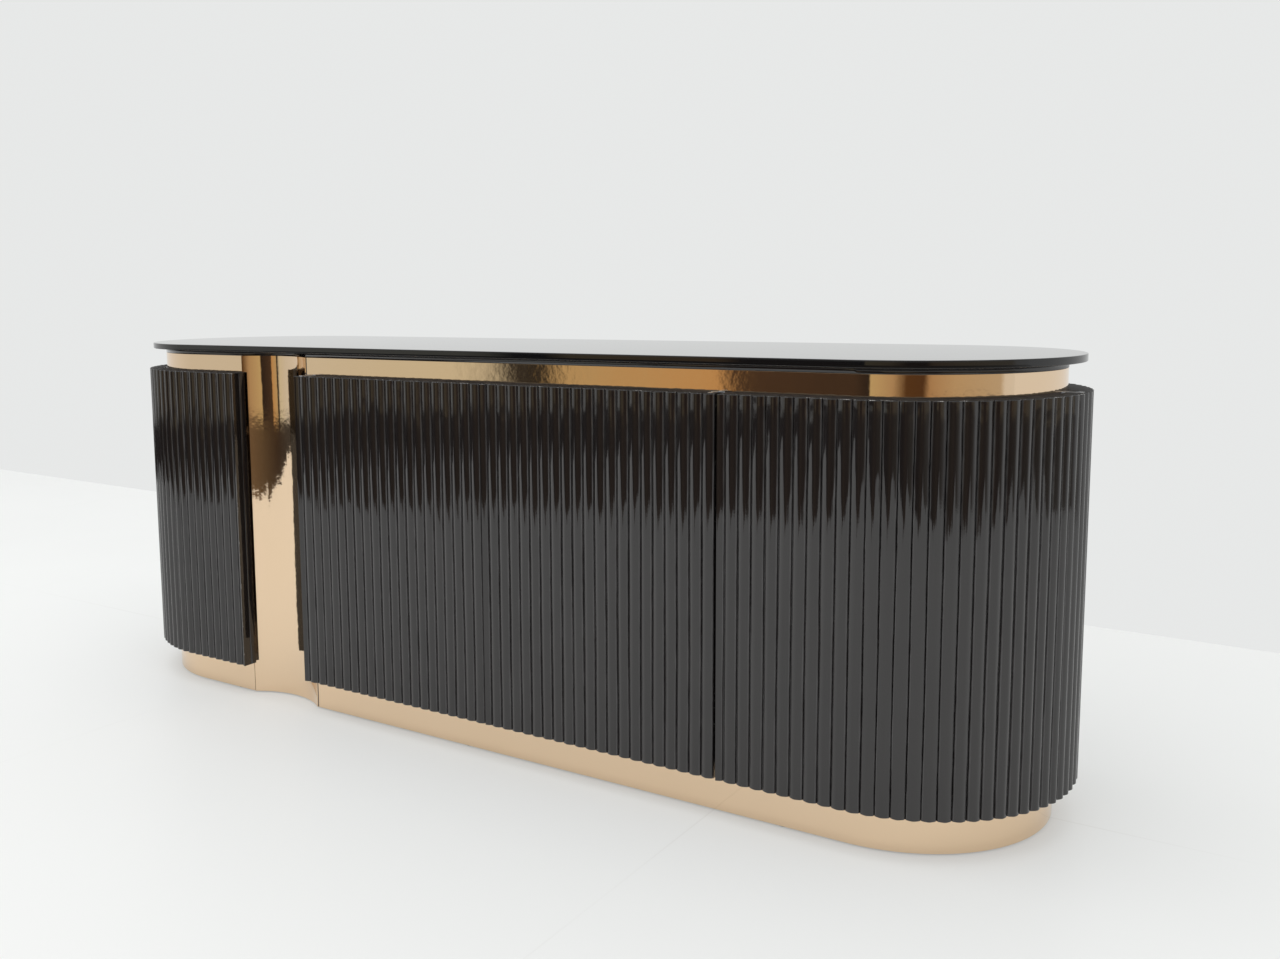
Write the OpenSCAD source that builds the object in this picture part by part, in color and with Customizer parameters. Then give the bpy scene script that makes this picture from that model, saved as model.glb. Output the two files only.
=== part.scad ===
// Sideboard buffet with a stadium plan: fluted doors, gilt metal collar, plinth and cove column.
// Origin: centre of the plan, on the floor. X runs along the front, -Y is the front, +Z is up.

/* [Body] */
// Overall length of the carcass core, end to end
core_l = 1986; // [1700:10:2400]
// Depth of the carcass core; the rounded ends have half of it as radius
core_d = 490; // [440:10:560]
// Height from the floor to the top surface
total_h = 750; // [700:5:900]
// Height of the plinth, glides included
plinth_h = 70; // [50:1:120]
// Height of the metal collar below the top
collar_h = 34; // [24:1:60]

/* [Top] */
// Thickness of the top slab
slab_t = 12; // [8:1:20]
// Thickness of the board below the slab
sub_top_t = 9; // [6:1:12]
// Thickness of the pads between board and slab
pad_t = 1; // [0.5:0.5:2]
// How far the slab stands out past the collar
slab_overhang = 27; // [10:1:34]

/* [Doors] */
// How far the crests of the flutes stand out past the core
door_front = 37; // [34:1:42]
// Thickness of the flat or bent panel behind the flutes
door_panel_t = 14; // [12:1:16]
// Gap between the carcass edges and the back of a door
door_gap = 5; // [4:0.5:6]
// X of the gap between the two flat doors
gap_middle_x = 73; // [40:1:110]
// Width of the gap between the two flat doors
gap_middle_w = 3; // [2:0.5:5]
// X of the gap between the flat doors and the right end door
gap_right_x = 539.5; // [510:0.5:560]
// Width of the gap beside the right end door
gap_right_w = 5; // [4:0.5:6]
// Width of the gap behind each end door
gap_rear_w = 3; // [3:0.5:5]

/* [Flutes] */
// Depth of the grooves between flutes
flute_h = 6.5; // [4:0.5:7]
// Flutes on a flat door, the half one at its edge included
flat_flutes = 20.5; // [16.5:1:24.5]
// Flutes on the left end door
left_flutes = 27.5; // [22.5:1:32.5]
// Flutes on the right end door
right_flutes = 28.5; // [22.5:1:33.5]
// Flutes on each rear quarter panel
rear_flutes = 19; // [15:1:23]

/* [Cove] */
// X of the middle of the cove column
cove_x = -491; // [-500:1:-480]
// Width of the cove across its mouth
cove_w = 184; // [170:1:190]
// Depth of the cove
cove_depth = 27.5; // [20:0.5:30]
// Thickness of the bent metal sheet
cove_sheet_t = 2; // [1:0.5:3]

/* [Carcass] */
// Thickness of boards, partitions and shelves
board_t = 18; // [16:1:19]
// Thickness of the metal bands
band_t = 1.2; // [0.8:0.2:1.6]
// Width of the rails in the plinth and collar frames
rail_w = 45; // [42:1:60]
// Thickness of the back panel
back_t = 15; // [9:1:16]
// Height of the glides under the plinth
glide_h = 3; // [2:0.5:5]

/* [Hinges] */
// Radius of the pivot pins
pin_r = 3; // [2.5:0.5:3]
// Length of the pivot pins
pin_len = 14; // [10:1:18]
// Thickness of the hinge plates
plate_t = 3; // [2:0.5:3.5]
// Distance from the hinge edge of a door to its pivot axis
axis_edge = 11.35; // [11:0.05:12]
// Distance from the core to the pivot axis
axis_off = 26; // [25:0.5:27]

/* [Hidden] */

gold = [0.80, 0.62, 0.47];
black = [0.07, 0.06, 0.06];
board_brown = [0.16, 0.13, 0.12];
steel = [0.70, 0.70, 0.72];
grey = [0.45, 0.45, 0.46];

core_r = core_d / 2;
straight = core_l / 2 - core_r;          // half length of the straight front
front_r = core_r + door_front;           // radius of the flute crests on the ends
quarter_s = straight + front_r * PI / 2; // path distance of the widest point of an end
arc_end_s = straight + front_r * PI;     // path distance where the end meets the back
arc_steps = 60;                          // chords on a half circle
flute_steps = 6;                         // chords on one flute

deck_z = total_h - slab_t - pad_t - sub_top_t - collar_h - board_t;
collar_z = deck_z + board_t;
sub_top_z = collar_z + collar_h;
slab_z = total_h - slab_t;
door_z0 = plinth_h - 1;
door_z1 = collar_z;
shelf_z = (plinth_h + board_t + deck_z) / 2;
facing_off = door_gap + door_panel_t;    // where the fluted facing starts, from the core

// path distances of the door edges, counted from the middle of the front
left_free_s = -cove_x + cove_w / 2 - 9;
a_hinge_s = cove_x + cove_w / 2 + 6;
a_free_s = gap_middle_x - gap_middle_w / 2;
b_free_s = gap_middle_x + gap_middle_w / 2;
b_hinge_s = gap_right_x - gap_right_w / 2;
c_free_s = gap_right_x + gap_right_w / 2;
end_hinge_s = quarter_s;
rear_s = quarter_s + gap_rear_w;

// circle of the cove's face
cove_r = (pow(cove_w / 2, 2) + pow(cove_depth, 2)) / (2 * cove_depth);
cove_y = -core_r - (cove_r - cove_depth);
cove_back_t = 12;
cove_reach = sqrt(pow(cove_r + cove_sheet_t + cove_back_t, 2) - pow(core_r + cove_y, 2));
seam_w = 2.4;                            // shadow gap beside the cove column
cove_mouth = sqrt(pow(cove_r + cove_sheet_t, 2) - pow(core_r + cove_y, 2));

// left faces of the partitions
partition_x = [cove_x - cove_reach - board_t - 0.5, cove_x + cove_reach + 0.5,
               gap_middle_x - board_t / 2, gap_right_x - board_t / 2];
partition_front = core_r - 2;
board_low = plinth_h + board_t;          // top face of the base board

neck_r = 4.4;                            // half width of a hinge plate at its pin
neck_in = 1.2;                           // the neck's other side, cut back for the open door
pocket_gap = 0.5;
paddle_w = 24;
paddle_l = 48;
screw_r = 1.75;
screw_head_r = 3.6;
screw_head_h = 2;
screw_l = 15;
screw_y = [axis_off + 14, axis_off + 36];
fit = 0.05;                              // radial clearance of screws, pins and bushes
bush_r = 4.5;

latch_w = 16;
latch_h = 14;
latch_l = 70;
latch_from_edge = 16;
plunger_r = 4;
plunger_l = 24;
strike_t = 1;
strike_gap = 0.4;
shelf_pin_r = 2.5;
shelf_pin_in = 8;
shelf_pin_out = 10;

// ---- path round the right half of the plan ----

// turn of the path away from the front, in degrees
function turn(s) = s <= straight ? 0 : min(180, (s - straight) / front_r * 180 / PI);

// point at path distance s and distance off outside the core
function at(s, off) =
    s > arc_end_s ? [straight - (s - arc_end_s), core_r + off]
    : [min(s, straight) + (core_r + off) * sin(turn(s)), -(core_r + off) * cos(turn(s))];

// path distances from s0 to s1 with the stops that a round stretch needs
function stops(s0, s1) = concat([s0],
    [for (i = [0:arc_steps]) let (s = straight + front_r * PI * i / arc_steps)
        if (s > s0 + 1 && s < s1 - 1) s],
    [s1]);

function reversed(list) = [for (i = [len(list) - 1:-1:0]) list[i]];

// band between two offsets, from s0 to s1
function strip(s0, s1, off0, off1) =
    concat([for (s = stops(s0, s1)) at(s, off1)], [for (s = reversed(stops(s0, s1))) at(s, off0)]);

// height of a flute's round face at the fraction u of its width w
function flute(u, w) = let (r = (w * w / 4 + flute_h * flute_h) / (2 * flute_h))
    sqrt(r * r - pow((u - 0.5) * w, 2)) - (r - flute_h);

// fluted facing from s0 to s1; a count that ends in .5 puts the half flute at s0
function fluted(s0, s1, count, back_off) =
    let (w = (s1 - s0) / count, first = (count - floor(count)) > 0.1 ? flute_steps / 2 : 0)
    concat(
        [for (i = [first:flute_steps * ceil(count) - 1])
            at(s0 + (i - first) * w / flute_steps,
               door_front - flute_h + flute((i % flute_steps) / flute_steps, w))],
        [at(s1, door_front - flute_h)],
        [for (s = reversed(stops(s0, s1))) at(s, back_off)]);

// whole plan outline at an offset
function right_half(off) = [for (s = stops(straight, arc_end_s)) at(s, off)];
function plan(off) = concat(right_half(off), [for (p = reversed(right_half(off))) [-p[0], p[1]]]);

// ---- helpers ----

module left() { mirror([1, 0, 0]) children(); }

module slab(z0, z1) { translate([0, 0, z0]) linear_extrude(z1 - z0) children(); }

// the round hollow of the cove, enlarged by off
module cove_cutter(off, z0, z1) {
    translate([cove_x, cove_y, z0]) cylinder(r = cove_r + off, h = z1 - z0, $fn = 96);
}

// bent plate that follows the cove, cut flush with the front
module cove_shell(off0, off1, z0, z1) {
    intersection() {
        difference() {
            cove_cutter(off1, z0, z1);
            cove_cutter(off0, z0 - 1, z1 + 1);
        }
        translate([cove_x - core_r, -core_r, z0 - 1]) cube([core_d, core_r, z1 - z0 + 2]);
    }
}

module board(z0, z1) {
    difference() {
        slab(z0, z1) polygon(plan(0));
        cove_cutter(cove_sheet_t, z0 - 1, z1 + 1);
    }
}

// children drawn in the frame of a pivot: origin on the axis, +X to the hinge edge, +Y inwards
module at_pivot(i) {
    s = [a_hinge_s + axis_edge, b_hinge_s - axis_edge, end_hinge_s - axis_edge][max(i, 1) - 1];
    if (i == 0) left() at_path(end_hinge_s - axis_edge, axis_off) children();
    else if (i == 1) at_path(s, axis_off) left() children();
    else at_path(s, axis_off) children();
}

// children drawn at a path point: +X along the path, +Y inwards
module at_path(s, off) { translate(at(s, off)) rotate(turn(s)) children(); }

// ---- plinth and collar frames ----

module frame_rails(z0, z1) {
    for (y = [-core_r + band_t, core_r - band_t - rail_w])
        difference() {
            translate([-straight, y, z0]) cube([2 * straight, rail_w, z1 - z0]);
            cove_cutter(cove_sheet_t, z0 - 1, z1 + 1);
        }
}

module frame_ends(z0, z1) {
    ring = strip(straight, arc_end_s, -band_t - rail_w, -band_t);
    slab(z0, z1) polygon(ring);
    left() slab(z0, z1) polygon(ring);
}

module frame_cross_rails(z0, z1) {
    inner = core_r - band_t - rail_w;
    for (x = [-straight + board_t, -board_t / 2, straight - 2 * board_t])
        translate([x, -inner, z0]) cube([board_t, 2 * inner, z1 - z0]);
}

module band_right(z0, z1) {
    slab(z0, z1) polygon(strip(cove_x + cove_mouth + seam_w, arc_end_s + straight - 0.3, -band_t, 0));
}

module band_left(z0, z1) {
    left() slab(z0, z1) polygon(strip(-cove_x + cove_mouth + 0.6, arc_end_s + straight - 0.3, -band_t, 0));
}

module glides() {
    color(black)
        for (x = [-640, 0, 640], y = [-core_r + rail_w / 2, core_r - rail_w / 2])
            translate([x, y, 0]) cylinder(r = 18, h = glide_h, $fn = 48);
    color(black)
        for (x = [-1, 1])
            translate([x * (straight + core_r - band_t - rail_w / 2), 0, 0])
                cylinder(r = 18, h = glide_h, $fn = 48);
}

module plinth_rails() { color(board_brown) frame_rails(glide_h, plinth_h); }
module plinth_ends() { color(board_brown) frame_ends(glide_h, plinth_h); }
module plinth_cross_rails() { color(board_brown) frame_cross_rails(glide_h, plinth_h); }
module plinth_band_left() { color(gold) band_left(glide_h, plinth_h); }
module plinth_band_right() { color(gold) band_right(glide_h, plinth_h); }
module collar_rails() { color(board_brown) frame_rails(collar_z, sub_top_z); }
module collar_ends() { color(board_brown) frame_ends(collar_z, sub_top_z); }
module collar_cross_rails() { color(board_brown) frame_cross_rails(collar_z, sub_top_z); }
module collar_band_left() { color(gold) band_left(collar_z, sub_top_z); }
module collar_band_right() { color(gold) band_right(collar_z, sub_top_z); }

module cove_panel() { color(gold) cove_shell(0, cove_sheet_t, glide_h, sub_top_z); }
module cove_backing() {
    color(black) cove_shell(cove_sheet_t, cove_sheet_t + cove_back_t, board_low, deck_z);
}

// ---- carcass ----

// room in a board for a hinge plate and its two screws; up is 1 for the deck, 0 for the base
module plate_mortise(z, up) {
    translate([-paddle_w / 2, axis_off - 1, z - (1 - up)]) cube([paddle_w, paddle_l + 1, plate_t + 1]);
    for (y = screw_y)
        translate([0, y, z - up * screw_l]) cylinder(r = screw_r + fit, h = screw_l + plate_t, $fn = 24);
}

module base_board() {
    color(black) difference() {
        board(plinth_h, board_low);
        for (i = [0:3]) at_pivot(i) plate_mortise(plinth_h, 0);
    }
}

module deck_board() {
    color(black) difference() {
        board(deck_z, collar_z);
        for (i = [0:3]) at_pivot(i) plate_mortise(collar_z - plate_t, 1);
    }
}

module sub_top() { color(black) board(sub_top_z, sub_top_z + sub_top_t); }

module top_pads() {
    color(grey)
        for (x = [-840, -280, 280, 840], y = [-120, 120])
            translate([x, y, sub_top_z + sub_top_t]) cylinder(r = 10, h = pad_t, $fn = 32);
}

// slab with a rounded edge built up in layers: [height fraction, inset]
module top_slab() {
    layers = [[0, 1.6], [0.08, 0.6], [0.22, 0], [0.78, 0.6], [0.92, 1.6], [1, 0]];
    color(black)
        for (i = [0:len(layers) - 2])
            slab(slab_z + slab_t * layers[i][0], slab_z + slab_t * layers[i + 1][0])
                polygon(plan(slab_overhang - layers[i][1]));
}

module back_panel() {
    color(black) translate([-straight + 1, core_r, plinth_h])
        cube([2 * straight - 2, back_t, collar_z - plinth_h]);
}

// blind holes for shelf pins in a partition that stands at x
module pin_holes(x) {
    for (y = [-170, 170], side = [0, 1])
        translate([x + side * (board_t - shelf_pin_in) - (1 - side), y, shelf_z - shelf_pin_r])
            rotate([0, 90, 0]) cylinder(r = shelf_pin_r + fit, h = shelf_pin_in + 1, $fn = 24);
}

module partition(i) {
    color(board_brown) difference() {
        translate([partition_x[i], -partition_front, board_low])
            cube([board_t, partition_front + core_r, deck_z - board_low]);
        pin_holes(partition_x[i]);
    }
}

module partition_cove_left() { partition(0); }
module partition_cove_right() { partition(1); }
module partition_middle() { partition(2); }
module partition_right() { partition(3); }

// pins of an end shelf stand in the curved rear panel at these path distances
rear_pin_s = [quarter_s + 90, quarter_s + 330];

module rear_panel() {
    color(black) difference() {
        slab(plinth_h, collar_z) polygon(strip(rear_s, arc_end_s, 0, facing_off));
        for (s = rear_pin_s)
            at_path(s, 0) translate([0, 1, shelf_z - shelf_pin_r])
                rotate([90, 0, 0]) cylinder(r = shelf_pin_r + fit, h = shelf_pin_in + 1, $fn = 24);
    }
}

module rear_fluting() {
    color(black) slab(door_z0, door_z1) polygon(fluted(rear_s, arc_end_s, rear_flutes, facing_off));
}

module left_rear_panel() { left() rear_panel(); }
module right_rear_panel() { rear_panel(); }
module left_rear_fluting() { left() rear_fluting(); }
module right_rear_fluting() { rear_fluting(); }

// ---- shelves ----

shelf_gap = 1.5;
shelf_setback = 22;

module flat_shelf(x0, x1) {
    color(board_brown) translate([x0 + shelf_gap, -core_r + shelf_setback, shelf_z])
        cube([x1 - x0 - 2 * shelf_gap, core_d - shelf_setback - shelf_gap, board_t]);
}

// shelf in a rounded end, from the distance x0 of its partition outwards
module end_shelf(x0) {
    outline = concat(
        [[x0 + shelf_gap, -core_r + shelf_setback]],
        [for (s = stops(straight, quarter_s)) at(s, -shelf_setback)],
        [for (s = stops(quarter_s, arc_end_s)) at(s, -shelf_gap)],
        [[x0 + shelf_gap, core_r - shelf_gap]]);
    color(board_brown) slab(shelf_z, shelf_z + board_t) polygon(outline);
}

module left_shelf() { left() end_shelf(-partition_x[0]); }
module middle_left_shelf() { flat_shelf(partition_x[1] + board_t, partition_x[2]); }
module middle_right_shelf() { flat_shelf(partition_x[2] + board_t, partition_x[3]); }
module right_shelf() { end_shelf(partition_x[3] + board_t); }

module shelf_pins() {
    pin_l = shelf_pin_in + shelf_pin_out - 0.5;
    color(steel)
        for (i = [0:3], y = [-170, 170], side = [0, 1])
            if (!(i == 0 && side == 1) && !(i == 1 && side == 0))
                translate([partition_x[i] + side * (board_t - shelf_pin_in) - (1 - side) * shelf_pin_out
                           + 0.25, y, shelf_z - shelf_pin_r])
                    rotate([0, 90, 0]) cylinder(r = shelf_pin_r, h = pin_l, $fn = 24);
    color(steel)
        for (side = [0, 1], s = rear_pin_s)
            mirror([side, 0, 0]) at_path(s, 0)
                translate([0, shelf_pin_out, shelf_z - shelf_pin_r])
                    rotate([90, 0, 0]) cylinder(r = shelf_pin_r, h = pin_l, $fn = 24);
}

// ---- hinges ----

module hinge_plate(z, pin_z) {
    difference() {
        union() {
            translate([0, 0, z]) cylinder(r = neck_r, h = plate_t, $fn = 32);
            translate([-neck_r, 0, z]) cube([neck_r + neck_in, axis_off + 1, plate_t]);
            translate([-paddle_w / 2, axis_off, z]) cube([paddle_w, paddle_l, plate_t]);
            translate([0, 0, pin_z]) cylinder(r = pin_r, h = pin_len + plate_t, $fn = 32);
        }
        for (y = screw_y) translate([0, y, z - 1]) cylinder(r = screw_r + fit, h = plate_t + 2, $fn = 24);
        for (y = screw_y)
            translate([0, y, pin_z < z ? z + plate_t - screw_head_h : z])
                cylinder(r1 = pin_z < z ? screw_r + fit : screw_head_r + fit,
                         r2 = pin_z < z ? screw_head_r + fit : screw_r + fit, h = screw_head_h, $fn = 24);
    }
}

module lower_hinge_plates() {
    color(steel) for (i = [0:3]) at_pivot(i) hinge_plate(plinth_h, plinth_h);
}

module upper_hinge_plates() {
    color(steel) for (i = [0:3])
        at_pivot(i) hinge_plate(collar_z - plate_t, collar_z - plate_t - pin_len);
}

module hinge_screws() {
    color(steel)
        for (i = [0:3], y = screw_y)
            at_pivot(i) {
                translate([0, y, plinth_h]) cylinder(r1 = screw_head_r, r2 = screw_r, h = screw_head_h, $fn = 24);
                translate([0, y, plinth_h]) cylinder(r = screw_r, h = screw_l, $fn = 24);
                translate([0, y, collar_z - screw_head_h])
                    cylinder(r1 = screw_r, r2 = screw_head_r, h = screw_head_h, $fn = 24);
                translate([0, y, collar_z - screw_l]) cylinder(r = screw_r, h = screw_l, $fn = 24);
            }
}

// ---- doors ----

bush_z0 = plinth_h + plate_t + 0.1;
bush_z1 = collar_z - plate_t - 0.1 - pin_len;

// room at the hinge edge for both plates and both bushes
module hinge_cut() {
    reach = neck_r + pocket_gap;
    for (z = [door_z0 - 1, collar_z - plate_t - pocket_gap])
        translate([-reach, -reach, z])
            cube([reach + axis_edge + 2, reach + axis_off, plate_t + pocket_gap + 2]);
    for (z = [bush_z0, bush_z1])
        translate([0, 0, z - 1]) cylinder(r = bush_r + fit, h = pin_len + 2, $fn = 32);
}

module bushes() {
    for (z = [bush_z0, bush_z1])
        translate([0, 0, z]) difference() {
            cylinder(r = bush_r, h = pin_len, $fn = 32);
            translate([0, 0, -1]) cylinder(r = pin_r + fit, h = pin_len + 2, $fn = 32);
        }
}

module door_panel(s0, s1) {
    slab(door_z0, door_z1) polygon(strip(s0, s1, door_gap, facing_off));
}

module door_fluting(s0, s1, count) {
    slab(door_z0, door_z1) polygon(fluted(s0, s1, count, facing_off));
}

module left_door_panel() {
    color(black) difference() {
        left() door_panel(left_free_s, end_hinge_s);
        at_pivot(0) hinge_cut();
    }
}

module left_door_fluting() {
    color(black) difference() {
        left() door_fluting(left_free_s, end_hinge_s, left_flutes);
        at_pivot(0) hinge_cut();
    }
}

module flat_door_a_panel() {
    color(black) difference() {
        door_panel(a_hinge_s, a_free_s);
        at_pivot(1) hinge_cut();
    }
}

module flat_door_a_fluting() {
    color(black) difference() {
        door_fluting(a_hinge_s, a_free_s, flat_flutes);
        at_pivot(1) hinge_cut();
    }
}

module flat_door_b_panel() {
    color(black) difference() {
        door_panel(b_free_s, b_hinge_s);
        at_pivot(2) hinge_cut();
    }
}

module flat_door_b_fluting() {
    color(black) difference() {
        door_fluting(b_free_s, b_hinge_s, flat_flutes);
        at_pivot(2) hinge_cut();
    }
}

module right_door_panel() {
    color(black) difference() {
        door_panel(c_free_s, end_hinge_s);
        at_pivot(3) hinge_cut();
    }
}

module right_door_fluting() {
    color(black) difference() {
        door_fluting(c_free_s, end_hinge_s, right_flutes);
        at_pivot(3) hinge_cut();
    }
}

module left_door_bushes() { color(grey) at_pivot(0) bushes(); }
module flat_door_a_bushes() { color(grey) at_pivot(1) bushes(); }
module flat_door_b_bushes() { color(grey) at_pivot(2) bushes(); }
module right_door_bushes() { color(grey) at_pivot(3) bushes(); }

// ---- push latches and bumpers ----

// X of each latch, beside the partition at the free edge of its door
latch_x = [partition_x[0] - latch_from_edge, partition_x[2] - latch_from_edge,
           partition_x[2] + board_t + latch_from_edge, partition_x[3] + board_t + latch_from_edge];
latch_y = -core_r + 6;
latch_z = deck_z - latch_h / 2;
plunger_y = -core_r - door_gap + strike_t + strike_gap;

module latch_housings() {
    color(grey)
        for (x = latch_x)
            difference() {
                translate([x - latch_w / 2, latch_y, deck_z - latch_h]) cube([latch_w, latch_l, latch_h]);
                translate([x, latch_y - 1, latch_z]) rotate([-90, 0, 0])
                    cylinder(r = plunger_r + fit, h = plunger_l + 5, $fn = 32);
            }
}

module plunger(i) {
    color(steel) translate([latch_x[i], plunger_y, latch_z]) rotate([-90, 0, 0])
        cylinder(r = plunger_r, h = plunger_l, $fn = 32);
}

module strike(i) {
    color(steel) translate([latch_x[i], -core_r - door_gap, latch_z]) rotate([-90, 0, 0])
        cylinder(r = 8, h = strike_t, $fn = 32);
}

module left_latch_plunger() { plunger(0); }
module flat_a_latch_plunger() { plunger(1); }
module flat_b_latch_plunger() { plunger(2); }
module right_latch_plunger() { plunger(3); }
module left_door_strike() { strike(0); }
module flat_door_a_strike() { strike(1); }
module flat_door_b_strike() { strike(2); }
module right_door_strike() { strike(3); }

module door_bumpers() {
    color(black)
        for (x = latch_x, z = [plinth_h + board_t / 2, collar_z - board_t / 2])
            translate([x, -core_r - door_gap + strike_gap, z]) rotate([-90, 0, 0])
                cylinder(r = 5, h = door_gap - strike_gap, $fn = 32);
}

glides();
plinth_rails();
plinth_ends();
plinth_cross_rails();
plinth_band_left();
plinth_band_right();
cove_panel();
cove_backing();
base_board();
deck_board();
collar_rails();
collar_ends();
collar_cross_rails();
collar_band_left();
collar_band_right();
sub_top();
top_pads();
top_slab();
back_panel();
partition_cove_left();
partition_cove_right();
partition_middle();
partition_right();
left_rear_panel();
left_rear_fluting();
right_rear_panel();
right_rear_fluting();
left_shelf();
middle_left_shelf();
middle_right_shelf();
right_shelf();
shelf_pins();
lower_hinge_plates();
upper_hinge_plates();
hinge_screws();
latch_housings();
door_bumpers();
left_door_panel();
left_door_fluting();
left_door_bushes();
left_door_strike();
flat_door_a_panel();
flat_door_a_fluting();
flat_door_a_bushes();
flat_door_a_strike();
flat_door_b_panel();
flat_door_b_fluting();
flat_door_b_bushes();
flat_door_b_strike();
right_door_panel();
right_door_fluting();
right_door_bushes();
right_door_strike();
left_latch_plunger();
flat_a_latch_plunger();
flat_b_latch_plunger();
right_latch_plunger();
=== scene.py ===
"""Looks of the fluted sideboard buffet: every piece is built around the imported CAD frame, in metres."""

from __future__ import annotations

import logging
import math
from collections.abc import Callable, Sequence
from dataclasses import dataclass, field
from enum import Enum

import bmesh
import bpy
import numpy as np
from mathutils import Matrix, Vector


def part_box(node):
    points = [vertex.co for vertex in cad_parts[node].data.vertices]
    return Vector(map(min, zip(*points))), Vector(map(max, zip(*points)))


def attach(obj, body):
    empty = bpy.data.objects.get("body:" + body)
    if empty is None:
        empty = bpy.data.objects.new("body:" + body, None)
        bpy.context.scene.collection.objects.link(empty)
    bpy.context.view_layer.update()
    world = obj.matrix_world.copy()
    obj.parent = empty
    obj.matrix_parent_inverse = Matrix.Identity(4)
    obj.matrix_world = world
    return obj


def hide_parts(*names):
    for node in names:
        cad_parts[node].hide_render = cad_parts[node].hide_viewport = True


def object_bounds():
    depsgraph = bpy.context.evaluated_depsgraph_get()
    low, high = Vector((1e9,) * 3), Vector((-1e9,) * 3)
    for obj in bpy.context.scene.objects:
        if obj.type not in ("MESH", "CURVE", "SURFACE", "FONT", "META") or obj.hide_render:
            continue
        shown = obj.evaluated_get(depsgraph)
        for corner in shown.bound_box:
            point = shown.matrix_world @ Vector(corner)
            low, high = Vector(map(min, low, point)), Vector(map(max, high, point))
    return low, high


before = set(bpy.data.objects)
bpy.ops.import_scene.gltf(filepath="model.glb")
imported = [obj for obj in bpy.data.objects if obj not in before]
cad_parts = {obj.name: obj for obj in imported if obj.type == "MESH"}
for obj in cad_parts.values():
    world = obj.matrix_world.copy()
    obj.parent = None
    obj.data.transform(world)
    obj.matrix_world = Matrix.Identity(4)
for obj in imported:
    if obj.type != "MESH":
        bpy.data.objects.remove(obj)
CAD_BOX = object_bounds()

LOG = logging.getLogger("sideboard")
MM = 0.001
MERGE = 1e-6
EASED_ANGLE = math.radians(40)
FULL_TURN = 2 * math.pi
SMOOTH_ANGLE = math.radians(34)
EVEN = (1.0, 1.0, 1.0)

Colour = tuple[float, float, float]
Point = tuple[float, float]
Ring = Sequence[Sequence[float]]
Inputs = dict[str | int, object] | None
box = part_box


# ------------------------ plan of the carcass


@dataclass(frozen=True)
class PlanPath:
    """The line round the right half of the plan, measured along the crests from the middle of the front.

    Args:
        straight: Half length of the straight front.
        core: Radius of the carcass ends.
        front: Radius of the flute crests on the ends.
    """

    straight: float
    core: float
    front: float

    @staticmethod
    def of_frame() -> PlanPath:
        """Reads the plan's sizes from the CAD nodes."""
        core = box("base_board")[1].y
        return PlanPath(box("base_board")[1].x - core, core, -box("flat_door_a_fluting")[0].y)

    @property
    def quarter(self) -> float:
        """Path distance of the widest point of an end."""
        return self.straight + self.front * math.pi / 2

    @property
    def arc_end(self) -> float:
        """Path distance where an end meets the back."""
        return self.straight + self.front * math.pi

    def at(self, s: float, off: float, left: bool = False) -> Point:
        """Point of the plan at path distance s, off outside the core; left mirrors it.

        Args:
            s: Path distance.
            off: Distance outside the carcass core.
            left: Whether the point lies on the mirrored left half.

        Returns:
            The point's x and y.
        """
        radius = self.core + off
        if s > self.arc_end:
            x, y = self.straight - (s - self.arc_end), radius
        else:
            turn = min(max((s - self.straight) / self.front, 0.0), math.pi)
            x = min(s, self.straight) + radius * math.sin(turn)
            y = -radius * math.cos(turn)
        return (-x if left else x, y)

    def stops(self, start: float, end: float, step: float = 6 * MM, apart: float = 0.5 * MM) -> list[float]:
        """Path distances from start to end, a step apart where the plan is round.

        Args:
            start: First path distance.
            end: Last path distance.
            step: Largest spacing on a round stretch.
            apart: Least spacing beside the two ends.

        Returns:
            The path distances in order.
        """
        count = math.ceil(self.front * math.pi / step)
        round_part = [self.straight + self.front * math.pi * i / count for i in range(count + 1)]
        return [start, *[s for s in round_part if start + apart < s < end - apart], end]

    def outline(self, off: float) -> list[Point]:
        """Closed outline of the whole plan at an offset, counter-clockwise."""
        half = [self.at(s, off) for s in self.stops(self.straight, self.arc_end)]
        return half + [(-x, y) for x, y in reversed(half)]


PLAN = PlanPath.of_frame()


# ------------------------ mesh helpers


def link(name: str, mesh: bpy.types.Mesh) -> bpy.types.Object:
    """Puts a mesh into the scene as an object at the origin.

    Args:
        name: Name of the object.
        mesh: Its mesh.

    Returns:
        The object.
    """
    piece = bpy.data.objects.new(name, mesh)
    bpy.context.scene.collection.objects.link(piece)
    return piece


def finished(mesh: bpy.types.Mesh, fill: bool = False) -> bpy.types.Mesh:
    """Merges doubles, closes open ends if asked, turns faces outwards and shades by angle.

    Args:
        mesh: The mesh to finish.
        fill: Whether open loops are closed.

    Returns:
        The same mesh.
    """
    work = bmesh.new()
    work.from_mesh(mesh)
    bmesh.ops.remove_doubles(work, verts=work.verts, dist=MERGE)
    if fill:
        bmesh.ops.holes_fill(work, edges=[e for e in work.edges if e.is_boundary])
    bmesh.ops.recalc_face_normals(work, faces=work.faces)
    work.to_mesh(mesh)
    work.free()
    mesh.shade_smooth()
    mesh.set_sharp_from_angle(angle=SMOOTH_ANGLE)
    return mesh


def mesh_of(name: str, points: Ring, faces: Sequence[Sequence[int]]) -> bpy.types.Mesh:
    """Makes a finished mesh from points and faces.

    Args:
        name: Name of the mesh.
        points: The vertices.
        faces: Vertex numbers of each face.

    Returns:
        The mesh.
    """
    mesh = bpy.data.meshes.new(name)
    mesh.from_pydata([tuple(p) for p in points], [], [tuple(f) for f in faces])
    return finished(mesh)


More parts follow.
